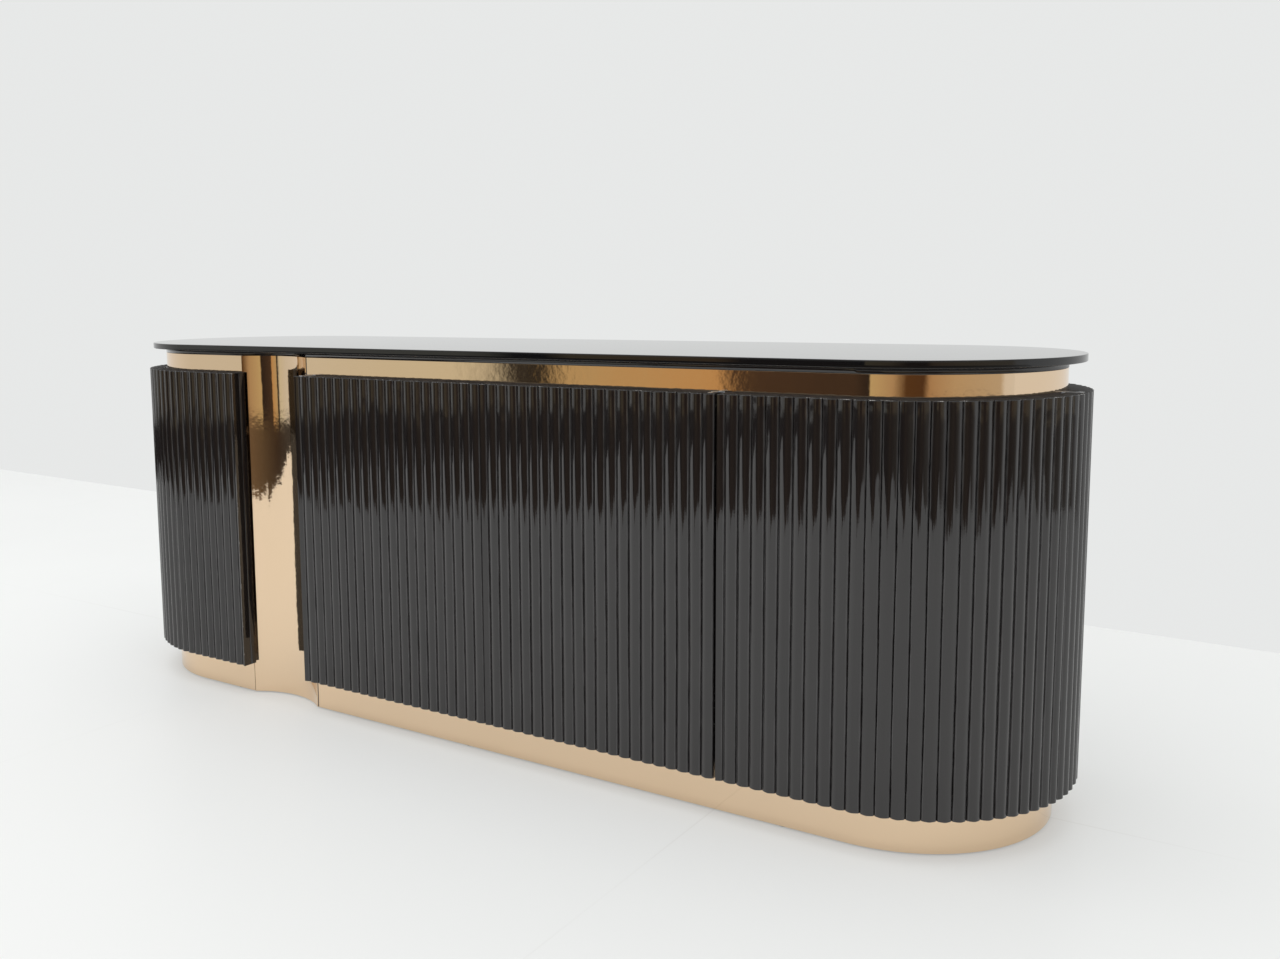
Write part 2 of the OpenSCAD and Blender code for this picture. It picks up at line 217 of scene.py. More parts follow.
def lofted(name: str, rings: Sequence[Ring]) -> bpy.types.Mesh:
    """Skins closed rings of equal length into one shell and closes its two ends.

    Args:
        name: Name of the mesh.
        rings: Rings of points in order.

    Returns:
        The skinned mesh.
    """
    count = len(rings[0])
    points = [p for ring in rings for p in ring]
    faces = [
        (i * count + j, i * count + (j + 1) % count, (i + 1) * count + (j + 1) % count, (i + 1) * count + j)
        for i in range(len(rings) - 1)
        for j in range(count)
    ]
    faces += [tuple(range(count)), tuple(range((len(rings) - 1) * count, len(rings) * count))]
    return mesh_of(name, points, faces)


def rounded_rectangle(low: Point, high: Point, radius: float, steps: int = 5) -> list[Point]:
    """Closed outline of a rectangle with rounded corners, counter-clockwise.

    Each straight side gets a point close to either end, so that it shades flat.

    Args:
        low: Lowest corner.
        high: Highest corner.
        radius: Radius of the corners.
        steps: Facets of a corner.

    Returns:
        The outline.
    """
    straight = min(high[0] - low[0], high[1] - low[1]) - 2 * radius
    hold = min(radius, 0.4 * straight)

    def on_arc(centre: Point, degrees: float, onward: float = 0.0) -> Point:
        """Point on a corner's arc, moved onward along its tangent."""
        a = math.radians(degrees)
        return (centre[0] + radius * math.cos(a) - onward * math.sin(a),
                centre[1] + radius * math.sin(a) + onward * math.cos(a))

    near, far = [v + radius for v in low], [v - radius for v in high]
    outline = []
    for centre, start in (((far[0], near[1]), -90), ((far[0], far[1]), 0), ((near[0], far[1]), 90),
                          ((near[0], near[1]), 180)):
        outline.append(on_arc(centre, start, -hold))
        outline += [on_arc(centre, start + 90 * i / steps) for i in range(steps + 1)]
        outline.append(on_arc(centre, start + 90, hold))
    return outline


def upright(outline: Sequence[Point], *heights: float) -> list[Ring]:
    """The same flat outline at several heights."""
    return [[(x, y, z) for x, y in outline] for z in heights]


def lathe(name: str, profile: Sequence[Point], sides: int = 28) -> bpy.types.Mesh:
    """Turns a profile of (radius, height) about Z into a closed shell."""
    angles = [FULL_TURN * i / sides for i in range(sides)]
    return lofted(name, [[(r * math.cos(a), r * math.sin(a), h) for a in angles] for r, h in profile])


def applied(piece: bpy.types.Object) -> bpy.types.Object:
    """Makes a piece's modified shape its plain mesh and drops the modifiers.

    Args:
        piece: The piece.

    Returns:
        The same piece.
    """
    bpy.context.view_layer.update()
    graph = bpy.context.evaluated_depsgraph_get()
    mesh = bpy.data.meshes.new_from_object(piece.evaluated_get(graph), depsgraph=graph)
    piece.modifiers.clear()
    piece.data = mesh
    mesh.name = piece.name
    return piece


def eased(piece: bpy.types.Object, width: float, segments: int = 2) -> bpy.types.Object:
    """Breaks a piece's hard edges with a small round and makes the result its mesh.

    Args:
        piece: The piece.
        width: Width of the eased edge.
        segments: Facets of the round.

    Returns:
        The same piece.
    """
    bevel = piece.modifiers.new("eased edges", "BEVEL")
    bevel.width, bevel.segments = width, segments
    bevel.limit_method, bevel.angle_limit = "ANGLE", EASED_ANGLE
    bevel.harden_normals = True
    return applied(piece)


# ------------------------ node helpers


def reckoning(kind: str, swapped: bool = False) -> Callable[..., Value]:
    """Makes a method that adds one Math node of a kind.

    Args:
        kind: Blender's name of the reckoning.
        swapped: Whether the value itself comes second.

    Returns:
        The method.
    """

    def method(self: Value, other: object = None) -> Value:
        """Adds the Math node and returns its output."""
        return self.nodes.math(kind, *((other, self) if swapped else (self, other)))

    return method


class Value:
    """The output of a node, which can be reckoned with like a number."""

    __add__ = __radd__ = reckoning("ADD")
    __sub__ = reckoning("SUBTRACT")
    __rsub__ = reckoning("SUBTRACT", swapped=True)
    __mul__ = __rmul__ = reckoning("MULTIPLY")
    __truediv__ = reckoning("DIVIDE")
    __pow__ = reckoning("POWER")
    __abs__ = reckoning("ABSOLUTE")
    above = reckoning("GREATER_THAN")
    least = reckoning("MINIMUM")
    most = reckoning("MAXIMUM")
    sine = reckoning("SINE")
    fraction = reckoning("FRACT")
    nearest = reckoning("ROUND")
    root = reckoning("SQRT")

    def __init__(self, nodes: Nodes, socket: bpy.types.NodeSocket) -> None:
        """Remembers the nodes and the socket."""
        self.nodes, self.socket = nodes, socket


class Nodes:
    """Writes nodes into a tree, one short call each."""

    def __init__(self, tree: bpy.types.NodeTree) -> None:
        """Keeps the tree that the nodes go into."""
        self.tree = tree

    def put(self, socket: bpy.types.NodeSocket, value: object) -> None:
        """Links a value into an input, or sets the input's own value; colours get their alpha.

        Args:
            socket: The input.
            value: A value to link, or the input's own value.
        """
        if isinstance(value, Value):
            self.tree.links.new(value.socket, socket)
        elif isinstance(value, tuple) and socket.type == "RGBA":
            socket.default_value = (*value, 1.0)
        else:
            socket.default_value = value

    def add(self, kind: str, inputs: Inputs = None, **settings: object) -> bpy.types.Node:
        """Adds a node, sets its properties and fills or links its inputs.

        Args:
            kind: Blender's name of the node type.
            inputs: Values by input name or number.
            **settings: Properties of the node.

        Returns:
            The new node.
        """
        node = self.tree.nodes.new(kind)
        for key, value in settings.items():
            setattr(node, key, value)
        for key, value in (inputs or {}).items():
            self.put(node.inputs[key], value)
        return node

    def out(self, kind: str, inputs: Inputs = None, output: str | int = 0, **settings: object) -> Value:
        """Adds a node and returns one of its outputs."""
        return Value(self, self.add(kind, inputs, **settings).outputs[output])

    def math(self, operation: str, a: object, b: object = None) -> Value:
        """Adds a Math node."""
        return self.out("ShaderNodeMath", {0: a} if b is None else {0: a, 1: b}, operation=operation)

    def vector(self, operation: str, a: object, b: object) -> Value:
        """Adds a Vector Math node; for SCALE the second value is the factor."""
        return self.out("ShaderNodeVectorMath", {0: a, "Scale" if operation == "SCALE" else 1: b},
                        operation=operation)

    def range(self, value: object, low: object, high: object, to_low: float = 0.0,
              to_high: float = 1.0) -> Value:
        """Maps a value from one range to another, clamped."""
        ends = {"Value": value, "From Min": low, "From Max": high, "To Min": to_low, "To Max": to_high}
        return self.out("ShaderNodeMapRange", ends)

    def parts(self, vector: object) -> list[Value]:
        """The three parts of a vector."""
        return [Value(self, o) for o in self.add("ShaderNodeSeparateXYZ", {0: vector}).outputs]

    def joined(self, *parts: object) -> Value:
        """A vector of three parts."""
        return self.out("ShaderNodeCombineXYZ", dict(enumerate(parts)))

    def cloud(self, place: object, scale: object, detail: float = 2.0) -> Value:
        """Noise at a place."""
        return self.out("ShaderNodeTexNoise", {"Vector": place, "Scale": scale, "Detail": detail})

    def mix(self, share: object, first: object, second: object) -> Value:
        """Mixes two colours by a share."""
        return self.out("ShaderNodeMix", {0: share, 6: first, 7: second}, 2, data_type="RGBA")

    def blend(self, share: object, first: Value, second: Value) -> Value:
        """Mixes two shaders by a share."""
        return self.out("ShaderNodeMixShader", {0: share, 1: first, 2: second})

    def facing_up(self, low: float, high: float, least: float = 0.0) -> Value:
        """One on faces that look up, falling to least on faces that don't."""
        normal = self.out("ShaderNodeNewGeometry", output="Normal")
        return self.range(self.parts(normal)[2], low, high, least, 1.0)

    def open_inputs(self, inputs: dict[str, object]) -> dict[str, str]:
        """Gives the tree its named inputs; a text value names the type of an input without a default.

        Args:
            inputs: Default values, or types, by name.

        Returns:
            The inputs' identifiers by name.
        """
        kinds = {float: "NodeSocketFloat", int: "NodeSocketInt", tuple: "NodeSocketVector"}
        keys = {}
        for name, value in inputs.items():
            kind = kinds.get(type(value), value)
            socket = self.tree.interface.new_socket(name, in_out="INPUT", socket_type=kind)
            if kind != value:
                socket.default_value = value
            keys[name] = socket.identifier
        return keys

    def given_values(self) -> dict[str, Value]:
        """The tree's inputs by name."""
        return {o.name: Value(self, o) for o in self.add("NodeGroupInput").outputs if o.name}


def spaced(name: str) -> str:
    """A socket's name with spaces for underscores."""
    return name.replace("_", " ")


# ------------------------ shared shader effects

Given = dict[str, Value]
Fill = Callable[[Nodes, Given], dict[str, Value]]


@dataclass(frozen=True)
class ShaderEffect:
    """A shader node group that several finishes share.

    Args:
        fill: Writes the group's nodes and returns its outputs by name.
        inputs: Default values by name; Position is always there.
    """

    fill: Fill
    inputs: dict[str, object]

    def tree(self) -> bpy.types.NodeTree:
        """Builds the group once and returns it.

        Returns:
            The group.
        """
        name = self.fill.__name__
        found = bpy.data.node_groups.get(name)
        if found:
            return found
        nodes = Nodes(bpy.data.node_groups.new(name, "ShaderNodeTree"))
        nodes.open_inputs({"Position": "NodeSocketVector", **self.inputs})
        results = self.fill(nodes, nodes.given_values())
        for output in results:
            nodes.tree.interface.new_socket(output, in_out="OUTPUT", socket_type="NodeSocketFloat")
        nodes.add("NodeGroupOutput", results)
        return nodes.tree


def shader_effect(**inputs: object) -> Callable[[Fill], ShaderEffect]:
    """Turns a fill function into a shared effect with named inputs."""
    named = {spaced(key): value for key, value in inputs.items()}
    return lambda fill: ShaderEffect(fill, named)


@shader_effect(Stretch=EVEN, Wave_Scale=6.0, Wave_Height=1.0, Peel_Scale=500.0, Peel_Height=0.02)
def surface_wave(nodes: Nodes, given: Given) -> dict[str, Value]:
    """Long soft waves of a rolled or sprayed surface plus a fine peel.

    Args:
        nodes: Writes into the group.
        given: The group's inputs by name.

    Returns:
        The group's outputs by name.
    """
    stretched = nodes.vector("MULTIPLY", given["Position"], given["Stretch"])
    wave = nodes.cloud(stretched, given["Wave Scale"], 1.0) * given["Wave Height"]
    peel = nodes.cloud(given["Position"], given["Peel Scale"]) * given["Peel Height"]
    return {"Height": wave + peel}


@shader_effect(Scale=60.0, Amount=1.0)
def hairline_scratches(nodes: Nodes, given: Given) -> dict[str, Value]:
    """Fine hairline marks in two directions, broken up by a coarse noise.

    Args:
        nodes: Writes into the group.
        given: The group's inputs by name.

    Returns:
        The group's outputs by name.
    """
    patch_size, patches, hairs = 9.0, (0.45, 0.62), (0.68, 0.76)
    broken = nodes.range(nodes.cloud(given["Position"], patch_size), *patches)
    drawn_out = ((1.0, 1.0, 22.0), (22.0, 16.0, 1.0))
    lines = [nodes.vector("MULTIPLY", given["Position"], stretch) for stretch in drawn_out]
    standing, lying = [nodes.range(nodes.cloud(line, given["Scale"], 1.0), *hairs) for line in lines]
    return {"Mask": standing.most(lying) * broken * given["Amount"]}


@shader_effect(Speck_Scale=240.0, Amount=1.0)
def settled_dust(nodes: Nodes, given: Given) -> dict[str, Value]:
    """Specks and a thin haze, heavier on faces that look up.

    Args:
        nodes: Writes into the group.
        given: The group's inputs by name.

    Returns:
        The group's outputs by name.
    """
    speck, gathered, thin, haze_share, upright_share = (0.10, 0.04), (0.5, 0.66), (0.35, 0.8), 0.35, 0.25
    place = {"Vector": given["Position"], "Scale": given["Speck Scale"]}
    cloud = nodes.cloud(given["Position"], 14.0, 3.0)
    specks = nodes.range(nodes.out("ShaderNodeTexVoronoi", place, "Distance"), *speck)
    total = specks * nodes.range(cloud, *gathered) + nodes.range(cloud, *thin) * haze_share
    return {"Mask": total * nodes.facing_up(-0.2, 1.0, upright_share) * given["Amount"]}


class Mark(str, Enum):
    """Names of the values that pieces store on their own meshes."""

    RIM = "rim"
    CREST = "crest"

    def read(self, nodes: Nodes) -> Value:
        """The stored value, in a shader."""
        return nodes.out("ShaderNodeAttribute", output="Fac", attribute_name=self.value)

    def store(self, nodes: Nodes, shape: Value, value: Value) -> Value:
        """The shape with the value stored on its points, in a geometry tree."""
        inputs = {"Geometry": shape, "Name": self.value, "Value": value}
        return nodes.out("GeometryNodeStoreNamedAttribute", inputs, data_type="FLOAT", domain="POINT")


@shader_effect(Reach=0.5)
def rim_chips(nodes: Nodes, given: Given) -> dict[str, Value]:
    """Broken pale marks along the rims that a piece marks: partly chips in the lacquer, partly a painted
    highlight along the rim.

    Args:
        nodes: Writes into the group.
        given: The group's inputs by name.

    Returns:
        The group's outputs by name.
    """
    coarse, fine, chip_and_glint_ramp = 60.0, 420.0, (1.0, 1.06)
    broken = (nodes.cloud(given["Position"], coarse, 3.0) + nodes.cloud(given["Position"], fine)) * 0.5
    return {"Mask": nodes.range(Mark.RIM.read(nodes) * given["Reach"] + broken, *chip_and_glint_ramp)}


@shader_effect(Amount=1.0)
def rubbed_shoulders(nodes: Nodes, given: Given) -> dict[str, Value]:
    """Painted highlight lines on the shoulders on both sides of each flute, where a piece marks its crests.

    Args:
        nodes: Writes into the group.
        given: The group's inputs by name.

    Returns:
        The group's outputs by name.
    """
    crest = Mark.CREST.read(nodes)
    first, last, patches, least = (0.40, 0.62), (0.68, 0.80), (0.30, 0.62), 0.45
    band = nodes.range(crest, *first) * nodes.range(crest, *last, 1.0, 0.0)
    uneven = nodes.range(nodes.cloud(given["Position"], 24.0), *patches, least, 1.0)
    return {"Mask": band * uneven * given["Amount"]}


@shader_effect(Stretch=(1.0, 12.0, 12.0), Scale=5.0)
def wood_grain(nodes: Nodes, given: Given) -> dict[str, Value]:
    """Straight wood grain with pores: the stretch sets the direction it runs in.

    Args:
        nodes: Writes into the group.
        given: The group's inputs by name.

    Returns:
        The group's outputs by name.
    """
    along = nodes.vector("MULTIPLY", given["Position"], given["Stretch"])
    wander, pore_scale, band, pore = 0.35, 260.0, (0.32, 0.68), (0.60, 0.72)
    bend = nodes.out("ShaderNodeTexNoise", {"Vector": along, "Scale": 3.0, "Detail": 3.0}, "Color")
    warped = nodes.vector("ADD", along, nodes.vector("SCALE", bend, wander))
    return {"Bands": nodes.range(nodes.cloud(warped, given["Scale"], 5.0), *band),
            "Pores": nodes.range(nodes.cloud(along, pore_scale, 1.0), *pore)}


# ------------------------ finishes


class Bench(Nodes):
    """A material's own nodes: one Principled shader and the object's coordinates."""

    def __init__(self, name: str) -> None:
        """Starts a material with an empty Principled shader.

        Args:
            name: Name of the material.
        """
        self.material = bpy.data.materials.new(name)
        self.material.use_nodes = True
        super().__init__(self.material.node_tree)
        self.shader = self.tree.nodes["Principled BSDF"]
        self.position = self.out("ShaderNodeTexCoord", output="Object")

    def effect(self, effect: ShaderEffect, output: str = "Mask", **values: object) -> Value:
        """Places a shared group and returns one output; underscores in value names stand for spaces."""
        inputs = {"Position": self.position, **{spaced(key): value for key, value in values.items()}}
        return self.out("ShaderNodeGroup", inputs, output, node_tree=effect.tree())

    def noise(self, scale: float, detail: float = 2.0) -> Value:
        """Noise in the object's coordinates."""
        return self.cloud(self.position, scale, detail)

    def bump(self, height: Value, distance: float) -> Value:
        """Turns a height into a normal."""
        return self.out("ShaderNodeBump", {"Height": height, "Distance": distance, "Strength": 1.0})

    def set(self, **values: object) -> bpy.types.Material:
        """Fills the Principled shader's inputs, underscores for spaces, and returns the material.

        Args:
            **values: Values by input name.

        Returns:
            The material.
        """
        for key, value in values.items():
            self.put(self.shader.inputs[spaced(key)], value)
        return self.material


@dataclass(frozen=True)
class GlossLacquer:
    """Near-black brown lacquer, polished, with soft peel, dust, painted highlight lines on the flute
    shoulders and pale marks at the rims that are partly nicks and partly painted highlight.
    """

    slot: str = "black_lacquer"
    deep: Colour = (0.0065, 0.0054, 0.0056)
    warm: Colour = (0.0105, 0.0082, 0.0080)
    dust: Colour = (0.30, 0.29, 0.28)
    # pale colour of the rim marks: partly lacquer chips, partly a painted rim highlight
    nick: Colour = (0.62, 0.60, 0.58)
    # painted highlight: this lighter colour on the flute shoulders stands in for the reflections there
    rubbed: Colour = (0.075, 0.073, 0.073)
    chip_reach: float = 0.48
    unpolished: float = 0.70
    roughness: float = 0.045

    def make(self) -> bpy.types.Material:
        """Builds the material.

        Returns:
            The material.
        """
        bench = Bench(self.slot)
        # rim marks, partly chips and partly a painted highlight along the rims
        chips_and_glints = bench.effect(rim_chips, Reach=self.chip_reach)
        body = bench.mix(bench.noise(5.0, 3.0), self.deep, self.warm)
        # painted highlight lines along both shoulders of each flute
        body = bench.mix(bench.effect(rubbed_shoulders), body, self.rubbed)
        dusty = bench.mix(bench.effect(settled_dust, Amount=0.02), body, self.dust)
        marks = bench.effect(hairline_scratches, Amount=0.6)
        rough = self.roughness + marks * 0.10 + chips_and_glints * 0.45 + bench.facing_up(0.80, 0.95) * self.unpolished
        height = bench.effect(surface_wave, "Height", Stretch=(1.0, 1.0, 0.35), Wave_Scale=16.0,
                              Peel_Scale=330.0, Peel_Height=0.012)
        return bench.set(Base_Color=bench.mix(chips_and_glints, dusty, self.nick), Roughness=rough, IOR=1.64,
                         Normal=bench.bump(height, 0.9 * MM))


@dataclass(frozen=True)
class MirrorSteel:
    """Polished steel with a thin rose-gold coat; the sheet is very slightly wavy."""

    slot: str = "rose_gold_steel"
    coat: Colour = (0.84, 0.645, 0.455)
    deep: Colour = (0.80, 0.60, 0.405)
    roughness: float = 0.045

    def make(self) -> bpy.types.Material:
        """Builds the material.

        Returns:
            The material.
        """
        bench = Bench(self.slot)
        dust = bench.effect(settled_dust, Amount=0.25, Speck_Scale=180.0)
        marks = bench.effect(hairline_scratches, Amount=0.7, Scale=90.0)
        height = bench.effect(surface_wave, "Height", Stretch=(1.0, 1.0, 0.6), Peel_Scale=62.0,
                              Peel_Height=0.055)
        return bench.set(Base_Color=bench.mix(bench.noise(3.0), self.coat, self.deep), Metallic=1.0,
                         Roughness=self.roughness + marks * 0.10 + dust * 0.12,
                         Normal=bench.bump(height, 1.6 * MM))


@dataclass(frozen=True)
class BlackGlass:
    """Opaque black glass with a mirror polish."""

    slot: str = "black_glass"
    body: Colour = (0.004, 0.004, 0.0045)
    dust: Colour = (0.35, 0.35, 0.36)
    roughness: float = 0.012

    def make(self) -> bpy.types.Material:
        """Builds the material.

        Returns:
            The material.
        """
        bench = Bench(self.slot)
        dust = bench.effect(settled_dust, Amount=0.012, Speck_Scale=150.0)
        marks = bench.effect(hairline_scratches, Amount=0.5, Scale=110.0)
        height = bench.effect(surface_wave, "Height", Wave_Scale=2.2, Peel_Scale=300.0, Peel_Height=0.0005)
        return bench.set(Base_Color=bench.mix(dust, self.body, self.dust), IOR=1.52,
                         Roughness=self.roughness + marks * 0.05, Normal=bench.bump(height, 0.25 * MM))


@dataclass(frozen=True)
class Timber:
    """Board or frame timber with straight grain under a thin matt varnish."""

    slot: str
    pale: Colour
    dark: Colour
    roughness: float
    stretch: Colour = (1.0, 12.0, 12.0)
    grain_depth: float = 0.12 * MM
    dust: Colour = (0.42, 0.40, 0.37)
    pore_shade: float = 0.45

    def make(self) -> bpy.types.Material:
        """Builds the material.

        Returns:
            The material.
        """
        bench = Bench(self.slot)
        bands = bench.effect(wood_grain, "Bands", Stretch=self.stretch)
        pores = bench.effect(wood_grain, "Pores", Stretch=self.stretch)
        wood = bench.mix(bands, self.pale, self.dark)
        wood = bench.mix(pores * 0.55, wood, tuple(self.pore_shade * c for c in self.dark))
        return bench.set(Base_Color=bench.mix(bench.effect(settled_dust, Amount=0.10), wood, self.dust),
                         Roughness=self.roughness + bands * 0.12,
                         Normal=bench.bump(bands * 0.4 - pores, self.grain_depth))


@dataclass(frozen=True)
class ZincSteel:
    """Bright zinc-plated steel with a faint spangle and rubbed marks."""

    slot: str = "zinc_steel"
    plate: Colour = (0.60, 0.61, 0.63)
    dull: Colour = (0.42, 0.43, 0.45)

    def make(self) -> bpy.types.Material:
        """Builds the material.

        Returns:
            The material.
        """
        bench = Bench(self.slot)
        spangle = bench.out("ShaderNodeTexVoronoi", {"Vector": bench.position, "Scale": 420.0}, "Color")
        marks = bench.effect(hairline_scratches, Scale=160.0)
        cloud = bench.noise(60.0, 3.0)
        return bench.set(Base_Color=bench.mix(spangle * cloud, self.plate, self.dull), Metallic=1.0,
                         Roughness=bench.range(cloud, 0.3, 0.7, 0.24, 0.38) + marks * 0.12,
                         Normal=bench.bump(marks, 0.01 * MM))


@dataclass(frozen=True)
class Moulded:
    """Moulded plastic or rubber: a fine spark texture and slight colour variation."""

    slot: str
    body: Colour
    tint: Colour
    roughness: float
    texture_scale: float = 900.0
    texture_depth: float = 0.04 * MM
    transmission: float = 0.0
    dust: Colour = (0.45, 0.44, 0.42)

    def make(self) -> bpy.types.Material:
        """Builds the material.

        Returns:
            The material.
        """
        bench = Bench(self.slot)
        colour = bench.mix(bench.noise(45.0, 3.0), self.body, self.tint)
        rough = bench.range(bench.noise(30.0), 0.3, 0.7, self.roughness - 0.05, self.roughness + 0.07)
        return bench.set(Base_Color=bench.mix(bench.effect(settled_dust, Amount=0.18), colour, self.dust),
                         Roughness=rough, Transmission_Weight=self.transmission,
                         Normal=bench.bump(bench.noise(self.texture_scale), self.texture_depth))


class Finish(Enum):
    """The finishes that the pieces are dressed in."""

    LACQUER = GlossLacquer()
    ROSE_GOLD = MirrorSteel()
    BLACK_GLASS = BlackGlass()
    FRAME_WOOD = Timber("frame_wood", (0.30, 0.19, 0.11), (0.17, 0.10, 0.055), 0.55)
    DARK_BOARD = Timber("dark_board", (0.062, 0.044, 0.036), (0.030, 0.021, 0.017), 0.34, (12.0, 1.0, 12.0),
                        0.07 * MM)
    ZINC = ZincSteel()
    NYLON_BLACK = Moulded("nylon_black", (0.020, 0.020, 0.021), (0.032, 0.031, 0.031), 0.42)
    NYLON_GREY = Moulded("nylon_grey", (0.30, 0.30, 0.31), (0.36, 0.36, 0.36), 0.40)
    LATCH = Moulded("latch_plastic", (0.045, 0.045, 0.047), (0.060, 0.059, 0.060), 0.36)
    RUBBER = Moulded("rubber_black", (0.016, 0.016, 0.016), (0.028, 0.027, 0.027), 0.70, 500.0, 0.08 * MM)
    CLEAR_PAD = Moulded("clear_pad", (0.88, 0.89, 0.89), (0.80, 0.82, 0.82), 0.16, 400.0, 0.02 * MM, 0.85)

    @property
    def slot(self) -> str:
        """The record's slot name."""
        return self.value.slot

    def material(self) -> bpy.types.Material:
        """The finish's material, made the first time it is wanted.

        Returns:
            The material.
        """
        name = f"{self.slot}_finish"
        found = bpy.data.materials.get(name)
        if found is None:
            found = self.value.make()
            found.name = name
        return found


def dress(piece: bpy.types.Object, finish: Finish, body: str, *stands_for: str) -> None:
    """Gives a new piece its material and body, and hides the CAD nodes that it stands for.

    Args:
        piece: The finished piece.
        finish: Its finish.
        body: CAD body that it rides on.
        *stands_for: CAD nodes that it replaces.
    """
    piece.data.materials.clear()
    piece.data.materials.append(finish.material())
    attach(piece, body)
    finish.slot
    if stands_for:
        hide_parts(*stands_for)
    LOG.info("%s rides on %s, %d faces", piece.name, body, len(piece.data.polygons))


# ------------------------ geometry node trees


class ShapeTree(Nodes):
    """A Geometry Nodes tree with named inputs that ends in Realize Instances and Set Material."""

    def __init__(self, name: str, inputs: dict[str, object]) -> None:
        """Starts a tree that takes a geometry and the named inputs.

        Args:
            name: Name of the tree.
            inputs: Default values, or types, of the inputs by name.
        """
        super().__init__(bpy.data.node_groups.new(name, "GeometryNodeTree"))
        self.keys = self.open_inputs(
            {"Geometry": "NodeSocketGeometry", **inputs, "Finish": "NodeSocketMaterial"})
        self.tree.interface.new_socket("Geometry", in_out="OUTPUT", socket_type="NodeSocketGeometry")
        self.given = self.given_values()

    def end(self, geometry: Value) -> ShapeTree:
        """Closes the tree and returns it.

        Args:
            geometry: The shape that the tree has made.

        Returns:
            The same tree.
        """
        real = self.out("GeometryNodeRealizeInstances", {"Geometry": geometry})
        painted = self.out("GeometryNodeSetMaterial", {"Geometry": real, "Material": self.given["Finish"]})
        self.add("NodeGroupOutput", {"Geometry": painted})
        return self

    def grow(self, name: str, base: bpy.types.Mesh, values: dict[str, object]) -> bpy.types.Object:
        """Runs the tree on a base mesh with the named values and keeps the result as a plain mesh.

        Args:
            name: Name of the new piece.
            base: The mesh that the tree starts from.
            values: Values of the named inputs.

        Returns:
            The piece.
        """
        piece = link(name, base)
        modifier = piece.modifiers.new(self.tree.name, "NODES")
        modifier.node_group = self.tree
        for key, value in values.items():
            modifier[self.keys[key]] = value
        return applied(piece)


